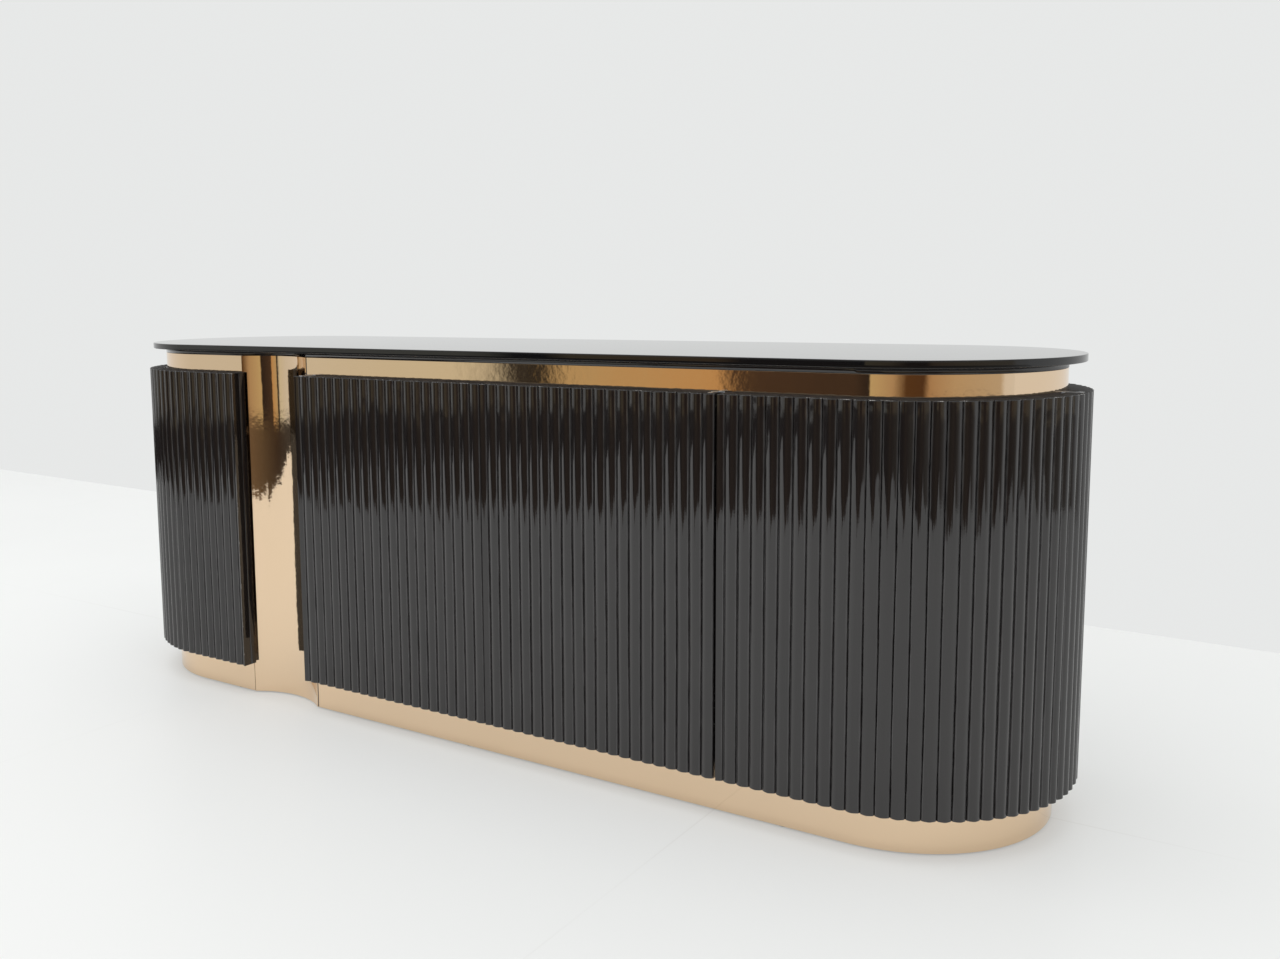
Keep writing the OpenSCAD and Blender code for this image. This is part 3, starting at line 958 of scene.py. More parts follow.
def fluting_tree() -> ShapeTree:
    """Builds the tree that bends a fluted facing along a line in the plan.

    Returns:
        The tree. It takes the crest line as edges and makes one closed strip of round flutes on it.
    """
    tree = ShapeTree("fluted_facing", {
        "Length": 0.5, "Foot": 0.069, "Height": 0.625, "Flute Width": 0.0227, "First Flute Share": 0.0,
        "Flute Depth": 0.0074, "Start Depth Share": 1.0, "Fullness": 1.55, "Groove Share": 0.34,
        "Groove Width": 0.00125, "Crowding": 0.78, "Facing Thickness": 0.018, "Rim Round": 0.0011,
        "Unevenness": 0.0028, "Ripple": 0.0011, "Columns": 200, "Rows": 84, "Seed": 1.0,
    })
    given = tree.given
    length, width, rows, tall = given["Length"], given["Flute Width"], given["Rows"], given["Height"]
    slow_scale, quick_scale, other_seed, calm_end = (55.0, 3.0), (60.0, 26.0), 50.0, 10 * MM
    row_crowding, slide_end, shallow, chip_and_glint_rim = 0.98, 23 * MM, (14 * MM, 32 * MM), 2.2 * MM
    last = rows + 2.0
    grid = tree.out("GeometryNodeMeshGrid", {"Size X": length, "Size Y": last, "Vertices X": given["Columns"],
                                             "Vertices Y": last + 1.0})
    x, y, _ = tree.parts(tree.out("GeometryNodeInputPosition"))
    s = x + length * 0.5
    from_end = s.least(length - s)

    # rows crowd at foot and top; the last three close the strip over its back
    row = (y + last * 0.5).nearest()
    back = row.above(rows - 0.5) - row.above(rows + 1.5)
    share = (row / (rows - 1.0)).least(1.0) * (1.0 - row.above(rows + 0.5))
    height = (share - (share * FULL_TURN).sine() * (row_crowding / FULL_TURN)) * tall

    # slow and quick unevenness along the plan, none at the two ends
    slow = tree.cloud(tree.joined(s * slow_scale[0], height * slow_scale[1], given["Seed"]), 1.0, 1.0)
    quick = tree.joined(s * quick_scale[0], height * quick_scale[1], given["Seed"] + other_seed)
    quick = tree.cloud(quick, 1.0)
    sway = (slow - 0.5) * given["Unevenness"] + (quick - 0.5) * given["Ripple"]
    sway = sway * (from_end.least(calm_end) * (1 / calm_end))

    # columns crowd at the grooves
    phase = given["First Flute Share"] + 1e-4
    slide = ((s / width + phase - 0.5) * FULL_TURN).sine() * (width * (given["Crowding"] * (1 / FULL_TURN)))
    s = s + slide * tree.range(from_end, 0.0, slide_end)

    # section of a flute: a flat arc with a narrow groove on either side
    across = ((s / width + phase).fraction() - 0.5) * width
    half = width * 0.5
    arc = 1.0 - abs(across / half) ** given["Fullness"]
    groove = tree.range(half - abs(across), 0.0, given["Groove Width"])
    rise = arc * (1.0 - given["Groove Share"]) + groove * given["Groove Share"]
    lost = (1.0 - given["Start Depth Share"]) * tree.range(s, *shallow, 1.0, 0.0)
    drop = given["Flute Depth"] * (1.0 - lost) * (1.0 - rise)

    # rounded rims at foot and top
    rim = given["Rim Round"]
    edge = height.least(tall - height)
    near = rim - edge.least(rim)
    rim_drop = rim - (rim * rim - near * near).most(0.0).root()
    pull = (drop + rim_drop) * (1.0 - back) + given["Facing Thickness"] * back

    line = tree.out("GeometryNodeMeshToCurve", {"Mesh": given["Geometry"]})
    path = tree.add("GeometryNodeSampleCurve", {"Curves": line, "Length": s + sway}, mode="LENGTH",
                    use_all_curves=True)
    tangent, place = Value(tree, path.outputs["Tangent"]), Value(tree, path.outputs["Position"])
    inset = tree.vector("SCALE", tree.vector("CROSS_PRODUCT", tangent, (0.0, 0.0, 1.0)), pull * -1.0)
    lift = tree.joined(0.0, 0.0, height + given["Foot"])
    # rim value; the lacquer's pale rim marks, partly chips and partly painted highlight, grow from it
    shape = Mark.RIM.store(tree, grid, tree.range(edge, 0.0, chip_and_glint_rim, 1.0, 0.0) - back * 12.0)
    # crest value; the lacquer paints its shoulder highlight lines from it
    shape = Mark.CREST.store(tree, shape, 1.0 - rise - back * 9.0)
    target = tree.vector("ADD", tree.vector("ADD", place, inset), lift)
    bent = tree.out("GeometryNodeSetPosition", {"Geometry": shape, "Position": target})
    return tree.end(tree.out("GeometryNodeMergeByDistance", {"Geometry": bent, "Distance": 2 * MERGE}))


def repeat_tree() -> ShapeTree:
    """Builds the tree that sets one upright fitting on every point.

    Returns:
        The tree. It takes the points as a mesh and the fitting as an object.
    """
    tree = ShapeTree("fittings_on_points", {"Fitting": "NodeSocketObject"})
    shape = tree.out("GeometryNodeObjectInfo", {"Object": tree.given["Fitting"]}, "Geometry")
    inputs = {"Points": tree.given["Geometry"], "Instance": shape}
    return tree.end(tree.out("GeometryNodeInstanceOnPoints", inputs))


# ------------------------ fluted doors and rear quarters


class Side(Enum):
    """Which half of the plan a piece follows."""

    LEFT = True
    RIGHT = False


SHAPE_FIELDS = ("flute_depth", "start_depth_share", "fullness", "groove_share", "groove_width", "crowding",
                "facing_thickness", "rim_round", "unevenness", "ripple", "rows", "seed")


@dataclass
class FlutedFacing:
    """A strip of flutes that follows the plan.

    Args:
        node: CAD node of the facing.
        body: CAD body that it rides on.
        side: Half of the plan that it follows.
        start: First path distance.
        end: Last path distance.
        count: Number of flutes; a count that ends in a half puts the half flute at the start.
        seed: Seed of its small unevenness.
        start_depth_share: Share of the flute depth that is kept beside the start.
    """

    node: str
    body: str
    side: Side
    start: float
    end: float
    count: float
    seed: float
    start_depth_share: float = 1.0
    flute_depth: float = 7.4 * MM
    fullness: float = 1.55
    groove_share: float = 0.34
    groove_width: float = 1.25 * MM
    crowding: float = 0.78
    top_relief: float = 1.0 * MM
    facing_thickness: float = 18 * MM
    rim_round: float = 1.1 * MM
    unevenness: float = 2.8 * MM
    ripple: float = 1.1 * MM
    edge_relief: float = 0.7 * MM
    columns_per_flute: int = 19
    rows: int = 84
    line_steps: int = 600

    def crest_line(self) -> bpy.types.Mesh:
        """The crest line as edges, with the outside of the plan on its right hand.

        Returns:
            The line as a mesh.
        """
        start, end = self.start + self.edge_relief, self.end - self.edge_relief
        stops = [start + (end - start) * i / self.line_steps for i in range(self.line_steps + 1)]
        if self.side is Side.LEFT:
            stops = stops[::-1]
        points = [(*PLAN.at(s, PLAN.front - PLAN.core, self.side.value), 0.0) for s in stops]
        mesh = bpy.data.meshes.new(f"{self.node}_line")
        mesh.from_pydata(points, [(i, i + 1) for i in range(self.line_steps)], [])
        return mesh

    def build(self, tree: ShapeTree) -> bpy.types.Object:
        """Grows the strip with the fluting tree and closes its ends.

        Args:
            tree: The fluting tree.

        Returns:
            The facing.
        """
        low, high = box(self.node)
        length = self.end - self.start - 2 * self.edge_relief
        half_first = self.count % 1 > 0 and self.side is Side.RIGHT
        piece = tree.grow(f"{self.node}_lacquered", self.crest_line(), {
            "Length": length,
            "Foot": low.z,
            "Height": high.z - low.z - self.top_relief,
            "Flute Width": length / self.count,
            "First Flute Share": 0.5 if half_first else 0.0,
            "Columns": round(self.columns_per_flute * self.count) + 1,
            **{spaced(name).title(): getattr(self, name) for name in SHAPE_FIELDS},
            "Finish": Finish.LACQUER.material(),
        })
        finished(piece.data, fill=True)
        return piece

    def dress(self, piece: bpy.types.Object) -> None:
        """Paints the facing and sets it on its body."""
        dress(piece, Finish.LACQUER, self.body, self.node)


def facings() -> list[FlutedFacing]:
    """The six fluted facings; the door edges come from the CAD panels.

    Returns:
        The facings, doors first.
    """
    a, b = box("flat_door_a_panel"), box("flat_door_b_panel")
    left_free, right_free = -box("left_door_panel")[1].x, box("right_door_panel")[0].x
    rear, quarter, end = PLAN.quarter + 3 * MM, PLAN.quarter, PLAN.arc_end
    return [
        FlutedFacing("left_door_fluting", "left_door", Side.LEFT, left_free, quarter, 27.5, 3.1),
        FlutedFacing("flat_door_a_fluting", "flat_door_a", Side.RIGHT, a[0].x, a[1].x, 20.5, 11.7, 0.83),
        FlutedFacing("flat_door_b_fluting", "flat_door_b", Side.RIGHT, b[0].x, b[1].x, 20.5, 19.2),
        FlutedFacing("right_door_fluting", "right_door", Side.RIGHT, right_free, quarter, 28.5, 27.9),
        FlutedFacing("left_rear_fluting", "cabinet", Side.LEFT, rear, end, 19, 35.3),
        FlutedFacing("right_rear_fluting", "cabinet", Side.RIGHT, rear, end, 19, 44.6),
    ]


# ------------------------ polished metal


@dataclass
class MetalBand:
    """A polished band wrapped round one half of the plinth or the collar."""

    node: str
    side: Side
    thickness: float = 1.2 * MM
    edge_round: float = 0.25 * MM
    joint: float = 0.55 * MM
    back_joint: float = 0.3 * MM
    step: float = 4 * MM

    def build(self) -> bpy.types.Object:
        """Sweeps the band's rounded section along the plan.

        Returns:
            The band.
        """
        low, high = box(self.node)
        section = rounded_rectangle((-self.thickness, low.z), (0.0, high.z), self.edge_round)
        front = low.x if self.side is Side.RIGHT else self.left_start()
        stops = PLAN.stops(front, PLAN.arc_end + PLAN.straight - self.back_joint, self.step)
        rings = [[(*PLAN.at(s, off, self.side.value), z) for off, z in section] for s in stops]
        return link(f"{self.node}_polished", lofted(self.node, rings))

    def left_start(self) -> float:
        """Path distance where the left band meets the cove column."""
        corners = [v.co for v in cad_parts[self.node].data.vertices]
        return -max(p.x for p in corners if p.y < 0) - self.joint

    def dress(self, piece: bpy.types.Object) -> None:
        """Paints the band and sets it on the cabinet."""
        dress(piece, Finish.ROSE_GOLD, "cabinet", self.node)


@dataclass
class CoveColumn:
    """The polished hollow column between the left door and the first flat door."""

    node: str = "cove_panel"
    sheet: float = 2 * MM
    rolled: float = 0.3 * MM
    tight: float = 0.25 * MM
    steps: int = 120

    def circle(self) -> tuple[float, float, float]:
        """Middle x, middle y and face radius of the cove, from the CAD panel's box.

        Returns:
            The three values in metres.
        """
        low, high = box(self.node)
        half, depth = (high.x - low.x) / 2, high.y - low.y
        back_radius = (half * half + depth * depth) / (2 * depth)
        return (low.x + high.x) / 2, high.y - back_radius, back_radius - self.sheet

    def bow(self, radius: float, reach: float, steps: int) -> list[Point]:
        """Points on a circle about the cove's middle, reach radians to either side of straight back.

        Args:
            radius: Radius of the circle.
            reach: Half of the angle that the points span.
            steps: Number of steps between them.

        Returns:
            The points from left to right.
        """
        middle, centre, _ = self.circle()
        angles = [-reach + 2 * reach * i / steps for i in range(steps + 1)]
        return [(middle + radius * math.sin(a), centre + radius * math.cos(a)) for a in angles]

    def build(self) -> bpy.types.Object:
        """Bends the sheet round the cove and thins its two ends.

        Returns:
            The column.
        """
        low, high = box(self.node)
        _, centre, radius = self.circle()
        reach = math.acos((-PLAN.core - centre) / (radius + self.sheet / 2))
        rings = []
        for z, tight in ((low.z, self.tight), (low.z + self.rolled, 0.0), (high.z - self.rolled, 0.0),
                         (high.z, self.tight)):
            face = self.bow(radius + tight, reach, self.steps)
            back = self.bow(radius + self.sheet - tight, reach, self.steps)
            rings += upright(face + back[::-1], z)
        return link("cove_panel_polished", lofted(self.node, rings))

    def dress(self, piece: bpy.types.Object) -> None:
        """Paints the column and sets it on the cabinet."""
        dress(piece, Finish.ROSE_GOLD, "cabinet", self.node)


@dataclass
class SeamStrip:
    """A black strip filling the shadow gap beside the cove column, at the plinth or the collar: painted
    shade, a dark solid standing in for the shade in the gap.
    """

    level: str
    recess: float = 0.5 * MM
    depth: float = 1.4 * MM
    edge_round: float = 0.3 * MM
    play: float = 0.05 * MM

    def build(self) -> bpy.types.Object:
        """Fills the gap between the column's sheet and the band.

        Returns:
            The strip.
        """
        low, high = box(f"{self.level}_band_right")
        cove = CoveColumn()
        middle, centre, radius = cove.circle()
        left = middle + math.sqrt((radius + cove.sheet) ** 2 - (-PLAN.core - centre) ** 2) + self.play
        front = -PLAN.core + self.recess
        far = (low.x - self.play, front + self.depth)
        outline = rounded_rectangle((left, front), far, self.edge_round, 3)
        return link(f"{self.level}_seam_strip", lofted(f"{self.level}_seam", upright(outline, low.z, high.z)))

    def dress(self, piece: bpy.types.Object) -> None:
        """Paints the strip and sets it on the cabinet."""
        dress(piece, Finish.RUBBER, "cabinet")


# ------------------------ top


@dataclass
class TopSlab:
    """The black glass top with a polished round edge."""

    node: str = "top_slab"
    arris: float = 1.3 * MM
    inner: float = 6 * MM
    steps: int = 7

    def build(self) -> bpy.types.Object:
        """Skins rings of the plan along the slab's rounded edge profile.

        Returns:
            The slab.
        """
        low, high = box(self.node)
        reach = -low.y - PLAN.core
        turns = [math.radians(90 * i / self.steps) for i in range(self.steps + 1)]
        inward = [(self.arris * (1 - math.sin(a)), self.arris * (1 - math.cos(a))) for a in turns]
        profile = [(reach - self.inner, low.z)]
        profile += [(reach - off, low.z + up) for off, up in inward]
        profile += [(reach - off, high.z - down) for down, off in inward]
        profile.append((reach - self.inner, high.z))
        rings = [[(x, y, z) for x, y in PLAN.outline(off)] for off, z in profile]
        return link("top_slab_polished", lofted(self.node, rings))

    def dress(self, piece: bpy.types.Object) -> None:
        """Paints the slab and sets it on the cabinet."""
        dress(piece, Finish.BLACK_GLASS, "cabinet", self.node)


@dataclass
class SubTop:
    """The lacquered board under the glass, hollowed at the cove."""

    node: str = "sub_top"
    ease: float = 0.9 * MM
    hollow_steps: int = 40

    def build(self) -> bpy.types.Object:
        """Extrudes the plan with the cove's hollow and eases its edges.

        Returns:
            The board.
        """
        low, high = box(self.node)
        cove = CoveColumn()
        _, centre, radius = cove.circle()
        back = radius + cove.sheet
        hollow = cove.bow(back, math.acos((-PLAN.core - centre) / back), self.hollow_steps)
        rings = upright(PLAN.outline(0.0) + hollow, low.z, high.z)
        return eased(link("sub_top_lacquered", lofted(self.node, rings)), self.ease, 3)

    def dress(self, piece: bpy.types.Object) -> None:
        """Paints the board and sets it on the cabinet."""
        finished(piece.data)
        dress(piece, Finish.LACQUER, "cabinet", self.node)


# ------------------------ carcass, panels and hardware


@dataclass
class EasedCopy:
    """A smooth copy of a CAD part with its edges eased, for parts whose CAD shape is right.

    Args:
        node: CAD node that it stands for.
        body: CAD body that it rides on.
        finish: Its finish.
        ease: Width of the eased edge.
        top_relief: How far the top face stays under the CAD part's.
    """

    node: str
    body: str
    finish: Finish
    ease: float
    top_relief: float = 0.0
    top_reach: float = 0.5 * MM
    flat_angle: float = math.radians(0.4)

    def build(self) -> bpy.types.Object:
        """Merges the CAD part's loose triangles, joins its flats and eases its edges.

        Returns:
            The part.
        """
        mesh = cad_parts[self.node].data.copy()
        top = box(self.node)[1].z
        for vertex in mesh.vertices:
            if vertex.co.z > top - self.top_reach:
                vertex.co.z -= self.top_relief
        work = bmesh.new()
        work.from_mesh(mesh)
        bmesh.ops.remove_doubles(work, verts=work.verts, dist=MERGE)
        bmesh.ops.dissolve_limit(work, angle_limit=self.flat_angle, verts=work.verts, edges=work.edges)
        work.to_mesh(mesh)
        work.free()
        mesh.shade_flat()
        piece = eased(link(f"{self.node}_finished", mesh), self.ease)
        piece.data.shade_smooth()
        piece.data.set_sharp_from_angle(angle=SMOOTH_ANGLE)
        return piece

    def dress(self, piece: bpy.types.Object) -> None:
        """Paints the part and sets it on its body."""
        dress(piece, self.finish, self.body, self.node)


def eased_parts() -> list[EasedCopy]:
    """The parts that keep their CAD shape and only get eased edges.

    Returns:
        The parts in the order they are built.
    """
    doors = ("left_door", "flat_door_a", "flat_door_b", "right_door")
    boards = ("partition_cove_left", "partition_cove_right", "partition_middle", "partition_right",
              "left_shelf", "middle_left_shelf", "middle_right_shelf", "right_shelf")
    panel = (Finish.LACQUER, 0.6 * MM, 1.0 * MM)
    return [
        *[EasedCopy(f"{d}_panel", d, *panel) for d in doors],
        *[EasedCopy(f"{d}_strike", d, Finish.ZINC, 0.2 * MM) for d in doors],
        *[EasedCopy(f"{d}_bushes", d, Finish.NYLON_GREY, 0.25 * MM) for d in doors],
        *[EasedCopy(f"{s}_rear_panel", "cabinet", *panel) for s in ("left", "right")],
        *[EasedCopy(n, "cabinet", Finish.DARK_BOARD, 0.6 * MM) for n in boards],
        EasedCopy("back_panel", "cabinet", Finish.LACQUER, 0.8 * MM, 1.0 * MM),
        EasedCopy("lower_hinge_plates", "cabinet", Finish.ZINC, 0.25 * MM),
        EasedCopy("upper_hinge_plates", "cabinet", Finish.ZINC, 0.25 * MM),
        EasedCopy("latch_housings", "cabinet", Finish.LATCH, 0.6 * MM),
        *[EasedCopy(f"{n}_latch_plunger", f"{n}_latch", Finish.LATCH, 0.4 * MM)
          for n in ("left", "flat_a", "flat_b", "right")],
    ]


KEPT_NODES: dict[Finish, tuple[str, ...]] = {
    Finish.FRAME_WOOD: ("plinth_rails", "plinth_ends", "plinth_cross_rails",
                        "collar_rails", "collar_ends", "collar_cross_rails"),
    Finish.DARK_BOARD: ("cove_backing", "base_board", "deck_board"),
    Finish.ZINC: ("hinge_screws", "shelf_pins"),
    Finish.RUBBER: ("door_bumpers",),
}


@dataclass
class Fitting:
    """A small turned fitting repeated on a CAD node's separate solids.

    Args:
        node: CAD node whose solids it stands for.
        finish: Its finish.
        profile: Share of the radius and share of the height of each profile point.
    """

    node: str
    finish: Finish
    profile: tuple[Point, ...]

    def solids(self) -> list[np.ndarray]:
        """Corner points of each separate solid of the CAD node, in order of place.

        Returns:
            One array of points for each solid.
        """
        work = bmesh.new()
        work.from_mesh(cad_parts[self.node].data)
        bmesh.ops.remove_doubles(work, verts=work.verts, dist=MERGE)
        left, found = set(work.verts), []
        while left:
            group = [left.pop()]
            for vertex in group:
                near = {v for edge in vertex.link_edges for v in edge.verts} & left
                left -= near
                group += near
            found.append(np.array([v.co for v in group], float))
        work.free()
        return sorted(found, key=lambda g: tuple(np.round((g.min(0) + g.max(0)) / 2, 5)))

    def build(self, tree: ShapeTree) -> bpy.types.Object:
        """Sets the turned shape on every solid through the repeat tree, all as one piece.

        Args:
            tree: The repeat tree.

        Returns:
            All fittings of the node as one piece.
        """
        groups = self.solids()
        low = np.array([g.min(0) for g in groups])
        high = np.array([g.max(0) for g in groups])
        radius, height = (high - low)[0, 0] / 2, (high - low)[0, 2]
        points = bpy.data.meshes.new(f"{self.node}_points")
        points.from_pydata([(c[0], c[1], lo[2]) for c, lo in zip((low + high) / 2, low)], [], [])
        profile = [(radius * r, height * h) for r, h in self.profile]
        shape = link(f"{self.node}_shape", lathe(f"{self.node}_shape", profile))
        piece = tree.grow(f"{self.node}_turned", points, {"Fitting": shape, "Finish": self.finish.material()})
        bpy.data.objects.remove(shape)
        finished(piece.data)
        return piece

    def dress(self, piece: bpy.types.Object) -> None:
        """Paints the fittings and sets them on the cabinet."""
        dress(piece, self.finish, "cabinet", self.node)


PUCK = ((0.0, 0.0), (0.90, 0.0), (0.97, 0.04), (1.0, 0.14),
        (1.0, 0.80), (0.96, 0.94), (0.88, 1.0), (0.0, 1.0))
DOME = ((0.0, 0.0), (0.94, 0.0), (1.0, 0.12), (1.0, 0.45),
        (0.94, 0.72), (0.78, 0.90), (0.50, 0.98), (0.0, 1.0))


def paint_kept_nodes() -> None:
    """Gives every CAD node that stays its procedural material."""
    finishes = {name: finish for finish, names in KEPT_NODES.items() for name in names}
    for name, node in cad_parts.items():
        if node.hide_render:
            continue
        finish = finishes.get(name, Finish.LACQUER)
        if not node.data.materials:
            node.data.materials.append(finish.material())
        for slot in node.material_slots:
            slot.material = finish.material()
        LOG.info("%s keeps its shape in %s", name, finish.slot)


# ------------------------ studio and camera


@dataclass
class Studio:
    """A pale floor and backdrop, soft lights and a room for the polished faces to mirror.

    Args:
        lamps: Name, place, point looked at, size and power in watts of each area light.
        floor_limit: Heights on the world's sphere between which the room gives way to the far floor.
        overhead_limit: The same for the room and the plain colour overhead.
        ragged: Scale and width of the broken edge where the mirrored floor ends.
        eye_level: Colours of the room just below the horizon: 0 degrees in front, 90 on the right.
        floor_level: The same, further down, past the lit part of the floor.
    """

    pale: Colour = (0.835, 0.84, 0.835)
    wall: Colour = (0.80, 0.81, 0.805)
    overhead: Colour = (0.66, 0.66, 0.655)
    tiles: tuple[Colour, Colour] = ((0.56, 0.565, 0.56), (0.54, 0.545, 0.54))
    tile_joint: Colour = (0.49, 0.49, 0.48)
    glow: Colour = (0.840, 0.850, 0.838)
    floor_glow: float = 0.33
    soft_light: float = 1.24
    floor_reach: float = 9.0
    floor_gap: float = 0.2 * MM
    tile: float = 1.2
    tile_start: Point = (0.52, 0.025)
    wall_distance: float = 1.27
    wall_turn: float = 0.031
    wall_height: float = 5.0
    mirrored_front: float = -2.85
    mirrored_side: float = 3.9
    mirrored_blur: float = 0.05
    ragged: Point = (2.4, 1.3)
    floor_limit: Point = (-0.100, -0.090)
    overhead_limit: Point = (0.0, 0.10)
    joint_width: Point = (0.5 * MM, 2.0 * MM)
    lamps: tuple[tuple[str, Colour, Colour, Point, float], ...] = (
        ("overhead_softbox", (-0.3, -0.6, 2.9), (0.0, 0.0, 0.2), (3.6, 2.2), 12.0),
        ("left_softbox", (-3.4, -1.2, 1.9), (0.0, 0.0, 0.4), (1.8, 1.4), 3.0),
    )
    eye_level: tuple[tuple[float, Colour], ...] = (
        (-180, (0.95, 0.95, 0.95)), (-100, (0.80, 0.80, 0.80)), (-52, (0.68, 0.68, 0.64)),
        (-38.2, (0.66, 0.64, 0.52)), (-37.4, (0.05, 0.045, 0.04)), (-34.6, (0.015, 0.014, 0.013)),
        (-33.9, (0.52, 0.40, 0.22)), (-25.9, (0.56, 0.34, 0.15)), (-25.4, (0.07, 0.045, 0.03)),
        (-9.5, (0.03, 0.022, 0.018)), (-8.5, (0.56, 0.45, 0.25)), (8, (0.46, 0.33, 0.19)),
        (18, (0.10, 0.05, 0.02)), (30, (0.09, 0.045, 0.02)), (34, (0.44, 0.29, 0.16)),
        (52, (0.52, 0.40, 0.25)), (86, (0.54, 0.46, 0.34)), (90, (0.74, 0.73, 0.70)),
        (130, (0.75, 0.82, 0.86)), (165, (0.98, 0.99, 1.0)), (180, (0.95, 0.95, 0.95)),
    )
    floor_level: tuple[tuple[float, Colour], ...] = (
        (-180, (0.90, 0.90, 0.90)), (-128, (0.80, 0.80, 0.80)), (-118, (0.06, 0.058, 0.055)),
        (-50, (0.05, 0.045, 0.042)), (-30, (0.05, 0.035, 0.025)), (-6, (0.11, 0.08, 0.05)),
        (8, (0.15, 0.105, 0.065)), (26, (0.09, 0.06, 0.04)), (60, (0.16, 0.135, 0.10)),
        (84, (0.26, 0.24, 0.21)), (104, (0.60, 0.60, 0.60)), (180, (0.90, 0.90, 0.90)),
    )

    def build(self) -> None:
        """Builds floor, backdrop, world and lights."""
        self.floor()
        self.backdrop()
        self.room()
        for lamp in self.lamps:
            self.light(*lamp)
        bpy.context.scene.view_settings.view_transform = "Standard"
        LOG.info("studio built")

    def stage(self, name: str, corners: Ring, material: bpy.types.Material) -> None:
        """Puts one flat face of the studio in place.

        Args:
            name: Name of the face.
            corners: Its four corners.
            material: Its material.
        """
        mesh = bpy.data.meshes.new(name)
        mesh.from_pydata(corners, [], [(0, 1, 2, 3)])
        mesh.materials.append(material)
        link(name, mesh)

    def floor(self) -> None:
        """A large pale tiled floor just under the glides."""
        bench = Bench("studio_floor_paint")
        cloud = bench.noise(0.8, 3.0)
        tiled = bench.mix(self.tile_joints(bench), bench.mix(cloud, *self.tiles), self.tile_joint)
        bench.set(Base_Color=tiled, Roughness=bench.range(cloud, 0.3, 0.7, 0.42, 0.50),
                  Specular_IOR_Level=0.25,
                  Emission_Color=self.glow, Emission_Strength=self.floor_glow)
        self.end_in_reflections(bench)
        reach, z = self.floor_reach, CAD_BOX[0].z - self.floor_gap
        corners = [(-reach, -reach, z), (reach, -reach, z), (reach, reach, z), (-reach, reach, z)]
        self.stage("studio_floor", corners, bench.material)

    def tile_joints(self, bench: Bench) -> Value:
        """Faint filled joints between the large floor tiles.

        Args:
            bench: The floor's material.

        Returns:
            A mask, one on the joints.
        """
        joints = []
        for place, start in zip(bench.parts(bench.position), self.tile_start):
            along = (place - start) / self.tile
            joints.append(bench.range(abs(along - along.nearest()), *self.joint_width, 1.0, 0.0))
        return joints[0].most(joints[1]) * bench.range(bench.noise(1.7), 0.40, 0.62)

    def end_in_reflections(self, bench: Bench) -> None:
        """Lets polished faces see the dim room past the lit part of the floor.

        Args:
            bench: The floor's material.
        """
        x, y, _ = bench.parts(bench.position)
        scale, width = self.ragged
        ragged = (bench.noise(scale, 4.0) - 0.5) * width
        blur, front, side = self.mirrored_blur, self.mirrored_front, self.mirrored_side
        past_front = bench.range(y + ragged, front + blur, front - blur)
        past_side = bench.range(abs(x) + ragged, side - blur, side + blur)
        glossy = bench.out("ShaderNodeLightPath", output="Is Glossy Ray")
        surface = bench.blend(past_front.most(past_side) * glossy, Value(bench, bench.shader.outputs[0]),
                              bench.out("ShaderNodeBsdfTransparent"))
        bench.put(bench.tree.nodes["Material Output"].inputs["Surface"], surface)

    def backdrop(self) -> None:
        """A pale wall that only shows from the front side."""
        bench = Bench("studio_wall_paint")
        behind = bench.out("ShaderNodeNewGeometry", output="Backfacing")
        surface = bench.blend(behind, bench.out("ShaderNodeEmission", {"Color": self.wall}),
                              bench.out("ShaderNodeBsdfTransparent"))
        bench.put(bench.tree.nodes["Material Output"].inputs["Surface"], surface)
        bench.tree.nodes.remove(bench.shader)
        side, z, top = self.floor_reach, CAD_BOX[0].z - self.floor_gap, self.wall_height
        left, right = self.wall_distance + self.wall_turn * side, self.wall_distance - self.wall_turn * side
        corners = [(-side, left, z), (side, right, z), (side, right, top), (-side, left, top)]
        self.stage("studio_wall", corners, bench.material)

    def room(self) -> None:
        """The world: pale to the eye, soft for matt faces, and a dim room with windows for polished ones."""
        world = bpy.data.worlds.new("studio_room")
        world.use_nodes = True
        nodes = Nodes(world.node_tree)
        nodes.tree.nodes.clear()
        x, y, z = nodes.parts(nodes.out("ShaderNodeTexCoord", output="Generated"))
        turn = nodes.range(nodes.math("ARCTAN2", x, y * -1.0), -math.pi, math.pi)
        around = self.ring_of_colours(nodes, turn, self.eye_level)
        under = self.ring_of_colours(nodes, turn, self.floor_level)
        lower = nodes.mix(nodes.range(z, *self.floor_limit, 1.0, 0.0), around, under)
        mirror = nodes.mix(nodes.range(z, *self.overhead_limit), lower, self.overhead)
        path = nodes.add("ShaderNodeLightPath").outputs
        soft = nodes.out("ShaderNodeBackground", {"Color": EVEN, "Strength": self.soft_light})
        matt = nodes.blend(Value(nodes, path["Is Glossy Ray"]), soft,
                           nodes.out("ShaderNodeBackground", {"Color": mirror}))
        final = nodes.blend(Value(nodes, path["Is Camera Ray"]), matt,
                            nodes.out("ShaderNodeBackground", {"Color": self.pale}))
        nodes.add("ShaderNodeOutputWorld", {"Surface": final})
        bpy.context.scene.world = world

    def ring_of_colours(self, nodes: Nodes, turn: Value, stops: Sequence[tuple[float, Colour]]) -> Value:
        """Colours all round the room by direction in degrees.

        Args:
            nodes: The world's nodes.
            turn: Direction as a share of the whole turn.
            stops: Direction and colour of each stop.

        Returns:
            The colour.
        """
        node = nodes.add("ShaderNodeValToRGB", {0: turn})
        elements = node.color_ramp.elements
        while len(elements) > 1:
            elements.remove(elements[-1])
        for i, (degrees, colour) in enumerate(stops):
            place = (degrees + 180) / 360
            element = elements[0] if i == 0 else elements.new(place)
            element.position, element.color = place, (*colour, 1.0)
        return Value(nodes, node.outputs[0])

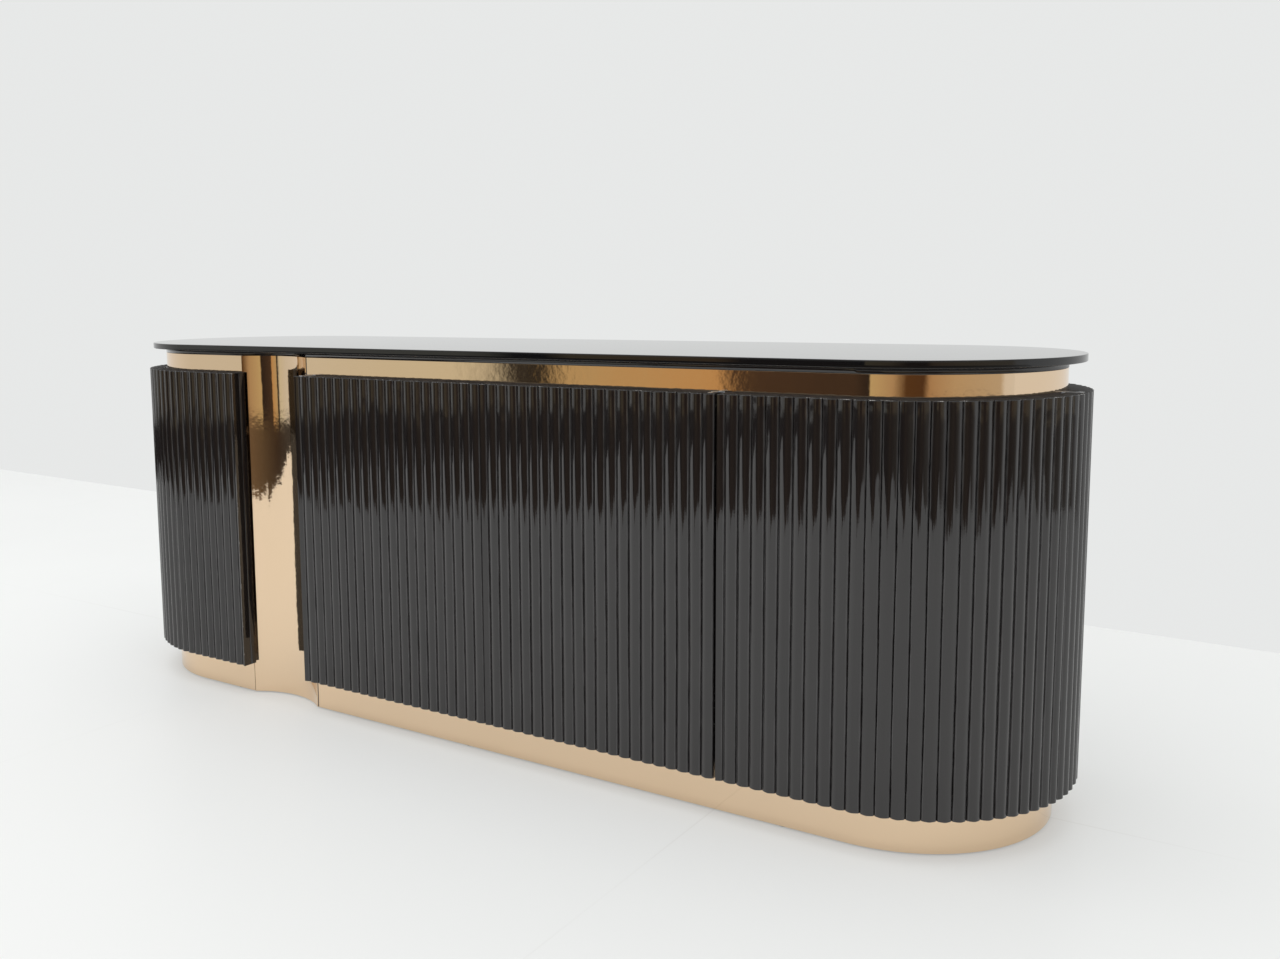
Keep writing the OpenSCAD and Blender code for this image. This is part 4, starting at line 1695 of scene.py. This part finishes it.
    def light(self, name: str, place: Colour, aim: Colour, size: Point, power: float) -> None:
        """Adds one area light that looks at a point.

        Args:
            name: Name of the light.
            place: Where it hangs.
            aim: Point that it looks at.
            size: Its width and height.
            power: Its power in watts.
        """
        data = bpy.data.lights.new(name, "AREA")
        data.shape = "RECTANGLE"
        data.size, data.size_y = size
        data.energy = power
        lamp = bpy.data.objects.new(name, data)
        lamp.location = place
        lamp.rotation_euler = (Vector(aim) - Vector(place)).to_track_quat("-Z", "Y").to_euler()
        bpy.context.scene.collection.objects.link(lamp)


@dataclass
class ViewCamera:
    """The standing viewer's camera, right of the front."""

    place: Colour = (1.38133, -1.93027, 0.84698)
    yaw: float = -0.593240
    pitch: float = 0.120080
    roll: float = -0.009984
    lens: float = 33.478
    sensor: float = 36.0
    shift: Point = (0.0538, -0.0318)

    def build(self) -> None:
        """Makes the camera and hands it to the scene."""
        ahead = Vector((math.sin(self.yaw) * math.cos(self.pitch), math.cos(self.yaw) * math.cos(self.pitch),
                        -math.sin(self.pitch)))
        level = Vector((math.cos(self.yaw), -math.sin(self.yaw), 0.0))
        upward = level.cross(ahead)
        right = level * math.cos(self.roll) + upward * math.sin(self.roll)
        up = upward * math.cos(self.roll) - level * math.sin(self.roll)
        data = bpy.data.cameras.new("viewer")
        data.sensor_fit, data.sensor_width = "HORIZONTAL", self.sensor
        data.lens = self.lens
        data.shift_x, data.shift_y = self.shift
        camera = bpy.data.objects.new("viewer", data)
        turn = Matrix((right, up, -ahead)).transposed()
        camera.matrix_world = Matrix.Translation(self.place) @ turn.to_4x4()
        bpy.context.scene.collection.objects.link(camera)
        bpy.context.scene.camera = camera
        LOG.info("camera placed")


# ------------------------ whole piece of furniture


@dataclass
class Sideboard:
    """Builds the sub-assemblies in order."""

    bands: list[MetalBand] = field(default_factory=lambda: [
        MetalBand(f"{level}_band_{side.name.lower()}", side)
        for level in ("plinth", "collar")
        for side in Side
    ])
    fittings: tuple[Fitting, ...] = (
        Fitting("glides", Finish.NYLON_BLACK, PUCK),
        Fitting("top_pads", Finish.CLEAR_PAD, DOME),
    )

    def build(self) -> None:
        """Builds and dresses every piece."""
        flutes, repeats = fluting_tree(), repeat_tree()
        for facing in facings():
            facing.dress(facing.build(flutes))
        # dark strips standing in for the shade in the gaps beside the cove column
        shade_gap_fillers = [SeamStrip("plinth"), SeamStrip("collar")]
        for maker in [*self.bands, CoveColumn(), *shade_gap_fillers, TopSlab(), SubTop(), *eased_parts()]:
            maker.dress(maker.build())
        for fitting in self.fittings:
            fitting.dress(fitting.build(repeats))
        paint_kept_nodes()


def main() -> None:
    """Builds camera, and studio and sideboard."""
    logging.basicConfig(level=logging.INFO, format="%(name)s: %(message)s")
    ViewCamera().build()
    Studio().build()
    Sideboard().build()


if __name__ == "__main__":
    main()
